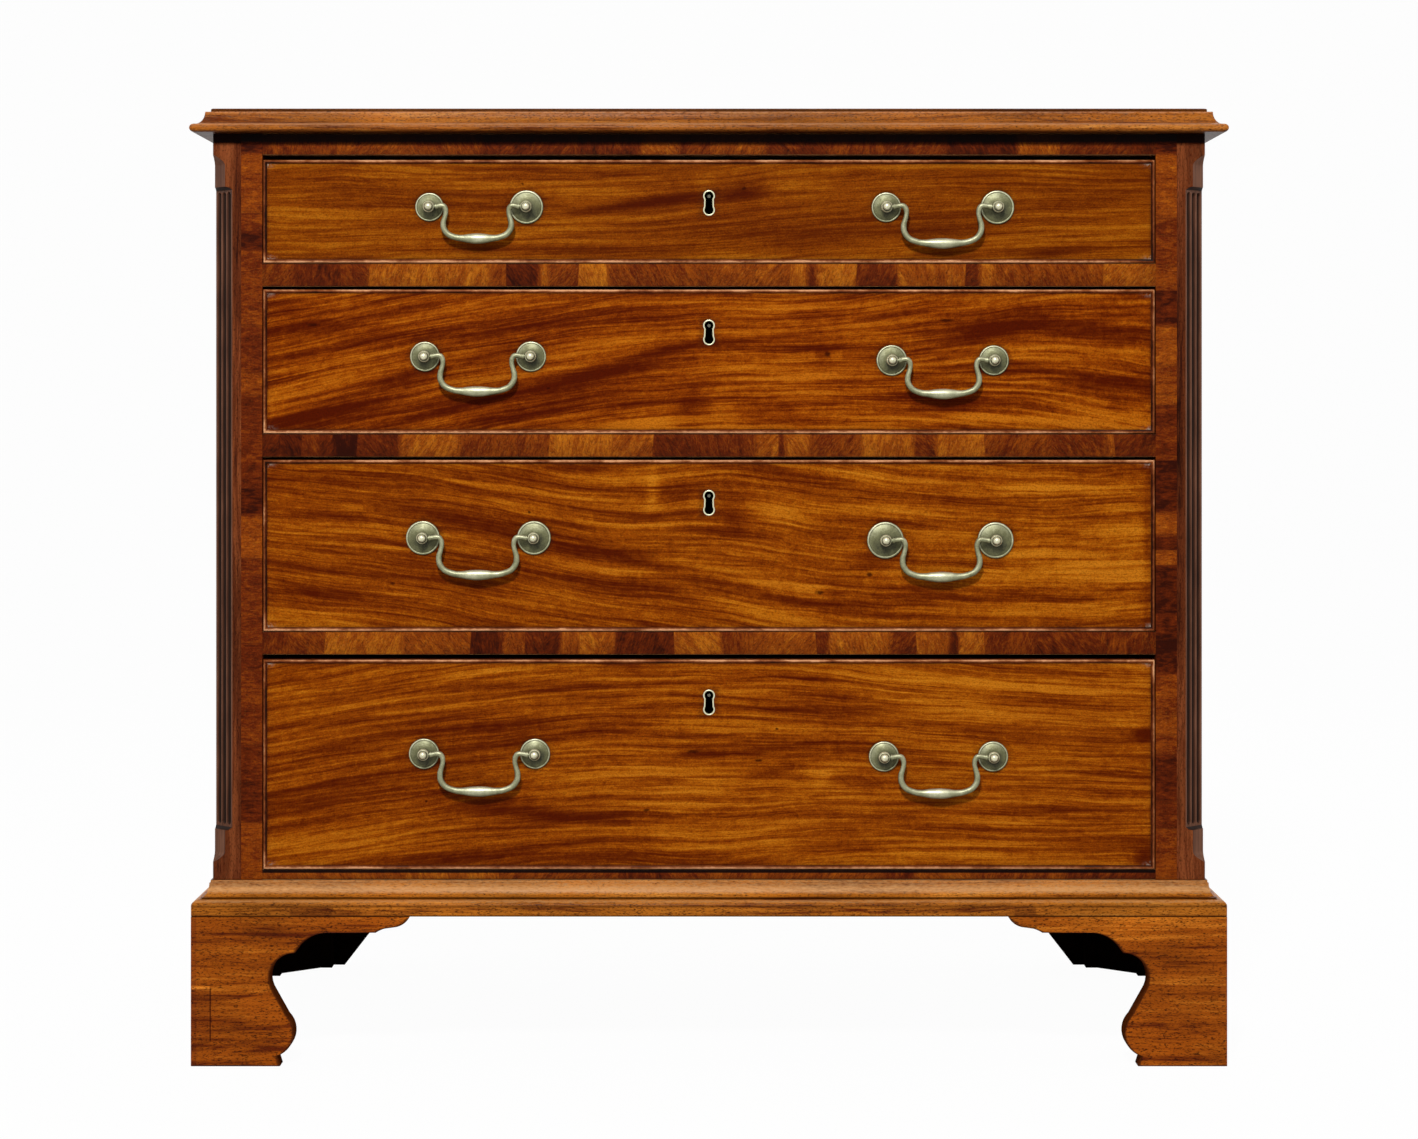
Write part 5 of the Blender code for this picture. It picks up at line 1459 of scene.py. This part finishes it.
def make_keyhole_lining(drawer):
    """A rounded rim that follows the keyhole's outline: rings of outlines, grown and set forward by
    the cosines and sines of a half circle."""
    middle = keyhole_middle(drawer)
    angle = full_turn(96)
    turn = np.linspace(math.pi, 0, 9)
    grow = np.concatenate(([-0.00005, -0.00005], 0.0010 + 0.0007 * np.cos(turn), [0.0019, 0.0019]))
    y = FRONT + np.concatenate(([0.0030, 0.0002], -0.0001 - 0.0006 * np.sin(turn), [0.0, 0.0010]))
    rings = np.stack([keyhole_ring(middle, g, at, angle) for g, at in zip(grow, y)])
    points, faces = hoop(rings)
    wear = np.concatenate(((-1.0, -0.9), 0.95 * np.sin(turn) ** 0.7 - 0.25, (-0.6, -0.6)))
    wear = np.repeat(wear, len(angle))
    make_piece(
        f"{drawer}_keyhole_lining", drawer, [finishes()["lining"]], points, faces,
        {"wear": wear}, angle=50.0,
    )


def lathe(profile, x, z, sides):
    """A profile of depths and radii turned round an axis along Y."""
    turn = full_turn(sides)
    y, radius = profile.T[:, :, None]
    return np.stack((
        x + radius * np.cos(turn), np.broadcast_to(y, (len(y), sides)), z + radius * np.sin(turn),
    ), axis=-1)


def make_post(node, body, pivot_y):
    """A turned post and its rose: the profile is a ball, a ring, a waist, a low dome and a rim bead,
    then the shank through the front and the nut behind it."""
    low, high = corners(node)
    x, z = (low[0] + high[0]) / 2, (low[2] + high[2]) / 2
    rose = (high[0] - low[0]) / 2
    head = 0.0052
    ball = np.linspace(0, math.pi * 0.62, 9)
    ball_y = pivot_y - 0.0045 - 0.0030 * np.cos(ball) + 0.0004
    ball_r = np.maximum(0.0034 * np.sin(ball), 0.0002)
    drum = np.linspace(-math.pi / 2, math.pi / 2, 9)
    drum_y = pivot_y + 0.0001 + 0.0031 * np.sin(drum)
    drum_r = head - 0.0014 + 0.0014 * np.cos(drum)
    face = FRONT - 0.0003
    share = np.linspace(0, 1, 8)
    dome_r = 0.0046 + (rose * 0.86 - 0.0046) * share
    dome_y = face - 0.0034 + 0.0020 * share**1.8
    rim = np.linspace(0, math.pi, 7)
    rim_r = rose * 0.93 - rose * 0.065 * np.cos(rim)
    rim_y = face - 0.0011 - 0.0007 * np.sin(rim)
    back = high[1]
    profile = np.concatenate((
        np.column_stack((ball_y, ball_r)),
        np.column_stack((drum_y, drum_r)),
        [(pivot_y + 0.0042, 0.0034), (face - 0.0040, 0.0036), (face - 0.0036, 0.0044)],
        np.column_stack((dome_y, dome_r)),
        np.column_stack((rim_y, rim_r)),
        [(face - 0.0006, rose), (face, rose), (face, 0.0022), (back - 0.0030, 0.0022),
         (back - 0.0030, 0.0056), (back - 0.0026, 0.0060), (back - 0.0004, 0.0060), (back, 0.0055)],
    ))
    wear = np.concatenate((
        1.0 - (ball / ball.max()) ** 4,
        np.interp(drum, (-1.57, -1.3, -0.8, 0.0, 1.57), (0.1, 0.7, 0.95, 0.4, -0.2)),
        (-0.2, -0.3, -0.1), 0.10 + 0.26 * share, (0.1, 0.3, 0.6, 0.7, 0.6, 0.4, 0.0),
        (0.0, 0.0, 0.2, 0.2, 0.3, 0.4, 0.4, 0.4),
    ))
    sides = 40
    turn = full_turn(sides)
    # Painted light on the brass: paler on the upper and left side of each ring, darker on the lower and right
    wear = wear[:, None] + 0.14 * np.sin(turn) - 0.05 * np.cos(turn)
    points, faces = loft(lathe(profile, x, z, sides))
    make_piece(
        node + "_rose", body, [finishes()["brass"]], points, faces, {"wear": wear},
        angle=40.0, replaced=(node,),
    )
    return x


def make_bail(node, pivot, spacing):
    """A round bar whose middle line is a smooth curve through measured points, in the upright plane
    of its pins. Rings of cosines and sines stand square to the line, and swell at the grip."""
    scale = spacing / BAIL_PATTERN
    count = len(BAIL_STATIONS)
    at = np.linspace(0, count - 1, 90)
    inward, drop, radius = (curve_through(np.arange(count), column, at) for column in BAIL_STATIONS.T)
    bar = inward * scale, drop * scale, radius
    inward, drop, radius = (np.concatenate(pair) for pair in zip(BAIL_PINS.T, bar))
    wear = 0.46 + 0.22 * np.clip((radius - 0.0026) / 0.0020, 0, 1)
    x = pivot[0] - spacing / 2 + inward
    x = np.concatenate((x, 2 * pivot[0] - x[-2::-1]))
    z = pivot[2] - np.concatenate((drop, drop[-2::-1]))
    radius = np.concatenate((radius, radius[-2::-1]))
    wear = np.concatenate((wear, wear[-2::-1]))
    along = np.stack((np.gradient(x), np.gradient(z)), axis=-1)
    along /= np.linalg.norm(along, axis=1, keepdims=True)
    turn = full_turn(20)
    across = radius[:, None] * np.cos(turn)
    rings = np.stack((
        x[:, None] - along[:, 1:] * across,
        pivot[1] - radius[:, None] * np.sin(turn) * 0.92,
        z[:, None] + along[:, :1] * across,
    ), axis=-1)
    points, faces = loft(rings)
    # Painted light on the bar: paler where it faces up, darker where it turns away from the front
    rise, front = along[:, :1] * np.cos(turn), np.sin(turn)
    wear = wear[:, None] + 0.24 * rise - 0.30 * (1 - front.clip(0, 1)) ** 2 + 0.06
    make_piece(
        node + "_swan_neck", node, [finishes()["brass"]], points, faces, {"wear": wear},
        angle=60.0, replaced=(node,),
    )


def make_handles():
    pivots = {joint["child"]: joint["pos_m"] for joint in frame["joints"] if joint["type"] == "hinge"}
    for drawer in DRAWERS:
        for side, _ in SIDES:
            bail = f"{drawer}_{side}_bail"
            pivot = np.array(pivots[bail])
            ends = [make_post(f"{drawer}_{side}_post_{end}", drawer, pivot[1]) for end in ("a", "b")]
            make_bail(bail, pivot, ends[1] - ends[0])


# Floor, lamps and camera


def make_stage():
    """A pale floor that rises behind the chest in a quarter circle, soft lamps, a plain world and the
    camera."""
    turn = np.linspace(0, math.pi / 2, 16)
    bend, rear, front, side = 1.5, 4.5, -7.0, 8.0
    y = np.concatenate(([front], rear - bend + bend * np.sin(turn), [rear]))
    z = np.concatenate(([0.0], bend - bend * np.cos(turn), [6.0]))
    points = np.stack(np.broadcast_arrays((-side, side), y[:, None], z[:, None]), axis=-1).reshape(-1, 3)
    mesh = bpy.data.meshes.new("floor")
    mesh.from_pydata(points, [], grid_faces(len(y), 2))
    mesh.shade_smooth()
    floor = bpy.data.objects.new("floor", mesh)
    bpy.context.scene.collection.objects.link(floor)
    paper = Finish("white_paper")
    paper.put(paper.shader, "Base Color", (0.82, 0.82, 0.82))
    paper.put(paper.shader, "Roughness", 0.9)
    glow = paper.node("Emission", {"Color": (1.0, 1.0, 1.0), "Strength": 1.0}).outputs[0]
    share = paper.times(paper.seen(), 0.97)
    blend = paper.node("MixShader", {0: share, 1: paper.shader.outputs[0], 2: glow})
    paper.put(paper.tree.nodes["Material Output"], "Surface", blend.outputs[0])
    mesh.materials.append(paper.material)

    world = bpy.data.worlds.new("studio")
    bpy.context.scene.world = world
    world.use_nodes = True
    sky = Nodes(world.node_tree)
    background = sky.tree.nodes["Background"]
    sky.put(background, "Color", (1.0, 1.0, 1.0))
    sky.put(background, "Strength", sky.remap(sky.seen(), 0.10, 1.0))

    middle = Vector((0.0, 0.0, 0.45))
    for name, place, size, power in (
        ("key_lamp", (-0.4, -3.5, 3.0), 0.40, 150.0),
        ("left_lamp", (-3.2, 0.2, 1.6), 1.6, 26.0),
        ("right_lamp", (3.2, 0.2, 1.6), 1.6, 26.0),
        ("back_lamp", (0.6, 2.6, 2.4), 2.0, 26.0),
    ):
        lamp = bpy.data.lights.new(name, "AREA")
        lamp.shape = "SQUARE"
        lamp.size = size
        lamp.energy = power
        holder = bpy.data.objects.new(name, lamp)
        holder.location = place
        holder.rotation_mode = "QUATERNION"
        holder.rotation_quaternion = (middle - Vector(place)).to_track_quat("-Z", "Y")
        bpy.context.scene.collection.objects.link(holder)

    # Size of a pixel at the drawer fronts, distance from them, and the pixel rows of the camera's height,
    # of the floor at the fronts and of the picture's middle
    pixel = 0.000885
    distance = 2.57
    horizon, floor_row, middle_row = 414.0, 1062.0, 569.5
    camera = bpy.data.cameras.new("camera")
    camera.sensor_width = 36.0
    camera.lens = camera.sensor_width * distance / (IMAGE_WIDTH * pixel)
    camera.shift_y = (horizon - middle_row) / IMAGE_WIDTH
    holder = bpy.data.objects.new("camera", camera)
    holder.location = (0.0, FRONT - distance, (floor_row - horizon) * pixel)
    holder.rotation_euler = (math.pi / 2, 0.0, 0.0)
    bpy.context.scene.collection.objects.link(holder)
    bpy.context.scene.camera = holder
    bpy.context.scene.view_settings.view_transform = "Standard"


# Operators


class ChestOperator:
    """What every operator here shares: it runs make() and reports that it is done."""

    bl_options = {"REGISTER"}

    def execute(self, context):
        self.make(context.scene.chest_sizes)
        return {"FINISHED"}


class CHEST_OT_top(ChestOperator, bpy.types.Operator):
    """Makes the moulded top"""

    bl_idname = "chest.top"
    bl_label = "Moulded top"

    def make(self, sizes):
        make_top_board(sizes)


class CHEST_OT_base(ChestOperator, bpy.types.Operator):
    """Makes the moulding round the base"""

    bl_idname = "chest.base"
    bl_label = "Base moulding"

    def make(self, sizes):
        make_base_moulding(sizes)


class CHEST_OT_feet(ChestOperator, bpy.types.Operator):
    """Makes the four bracket feet"""

    bl_idname = "chest.feet"
    bl_label = "Bracket feet"

    def make(self, sizes):
        make_feet(sizes)


class CHEST_OT_corners(ChestOperator, bpy.types.Operator):
    """Makes the fluted corners and their stiles"""

    bl_idname = "chest.corners"
    bl_label = "Fluted corners"

    def make(self, sizes):
        make_corner_posts(sizes)


class CHEST_OT_banding(ChestOperator, bpy.types.Operator):
    """Lays the crossbanding on the rails"""

    bl_idname = "chest.banding"
    bl_label = "Crossbanding"

    def make(self, sizes):
        make_rail_banding(sizes)


class CHEST_OT_back(ChestOperator, bpy.types.Operator):
    """Makes the back boards and their nails"""

    bl_idname = "chest.back"
    bl_label = "Back boards"

    def make(self, sizes):
        make_back_boards(sizes)


class CHEST_OT_carcass(ChestOperator, bpy.types.Operator):
    """Finishes the boards, drawer linings, locks and bolts"""

    bl_idname = "chest.carcass"
    bl_label = "Carcass finishes"

    def make(self, sizes):
        finish_carcass()


class CHEST_OT_veneers(ChestOperator, bpy.types.Operator):
    """Lays the figured veneer on the four drawer fronts"""

    bl_idname = "chest.veneers"
    bl_label = "Drawer veneers"

    def make(self, sizes):
        for drawer in DRAWERS:
            make_veneer(drawer, sizes)


class CHEST_OT_cockbeads(ChestOperator, bpy.types.Operator):
    """Makes the cockbead of each drawer"""

    bl_idname = "chest.cockbeads"
    bl_label = "Cockbeads"

    def make(self, sizes):
        for drawer in DRAWERS:
            make_cockbead(drawer, sizes)


class CHEST_OT_keyholes(ChestOperator, bpy.types.Operator):
    """Makes the brass lining of each keyhole"""

    bl_idname = "chest.keyholes"
    bl_label = "Keyhole linings"

    def make(self, sizes):
        for drawer in DRAWERS:
            make_keyhole_lining(drawer)


class CHEST_OT_handles(ChestOperator, bpy.types.Operator):
    """Makes the roses, posts and bails of the eight handles"""

    bl_idname = "chest.handles"
    bl_label = "Handles"

    def make(self, sizes):
        make_handles()


class CHEST_OT_stage(ChestOperator, bpy.types.Operator):
    """Makes the floor, the lamps and the camera"""

    bl_idname = "chest.stage"
    bl_label = "Floor, lamps and camera"

    def make(self, sizes):
        make_stage()


OPERATORS = (
    CHEST_OT_stage, CHEST_OT_top, CHEST_OT_base, CHEST_OT_feet, CHEST_OT_corners, CHEST_OT_banding,
    CHEST_OT_back, CHEST_OT_carcass, CHEST_OT_veneers, CHEST_OT_cockbeads, CHEST_OT_keyholes,
    CHEST_OT_handles,
)


class CHEST_PT_pieces(bpy.types.Panel):
    """Lists the pieces of the chest, and its sizes and colours"""

    bl_label = "Chest of drawers"
    bl_idname = "CHEST_PT_pieces"
    bl_space_type = "VIEW_3D"
    bl_region_type = "UI"
    bl_category = "Chest"

    def draw(self, context):
        for operator in OPERATORS:
            self.layout.operator(operator.bl_idname)
        for group in (context.scene.chest_sizes, context.scene.chest_colours):
            box = self.layout.box()
            for key in group.bl_rna.properties.keys():
                if key not in ("rna_type", "name"):
                    box.prop(group, key)


CLASSES = (ChestSizes, ChestColours, *OPERATORS, CHEST_PT_pieces)


def register():
    for made in CLASSES:
        bpy.utils.register_class(made)
    bpy.types.Scene.chest_sizes = PointerProperty(type=ChestSizes)
    bpy.types.Scene.chest_colours = PointerProperty(type=ChestColours)


def unregister():
    del bpy.types.Scene.chest_colours
    del bpy.types.Scene.chest_sizes
    for made in reversed(CLASSES):
        bpy.utils.unregister_class(made)


def main():
    register()
    for operator in OPERATORS:
        group, call = operator.bl_idname.split(".")
        getattr(getattr(bpy.ops, group), call)()


if __name__ == "__main__":
    main()
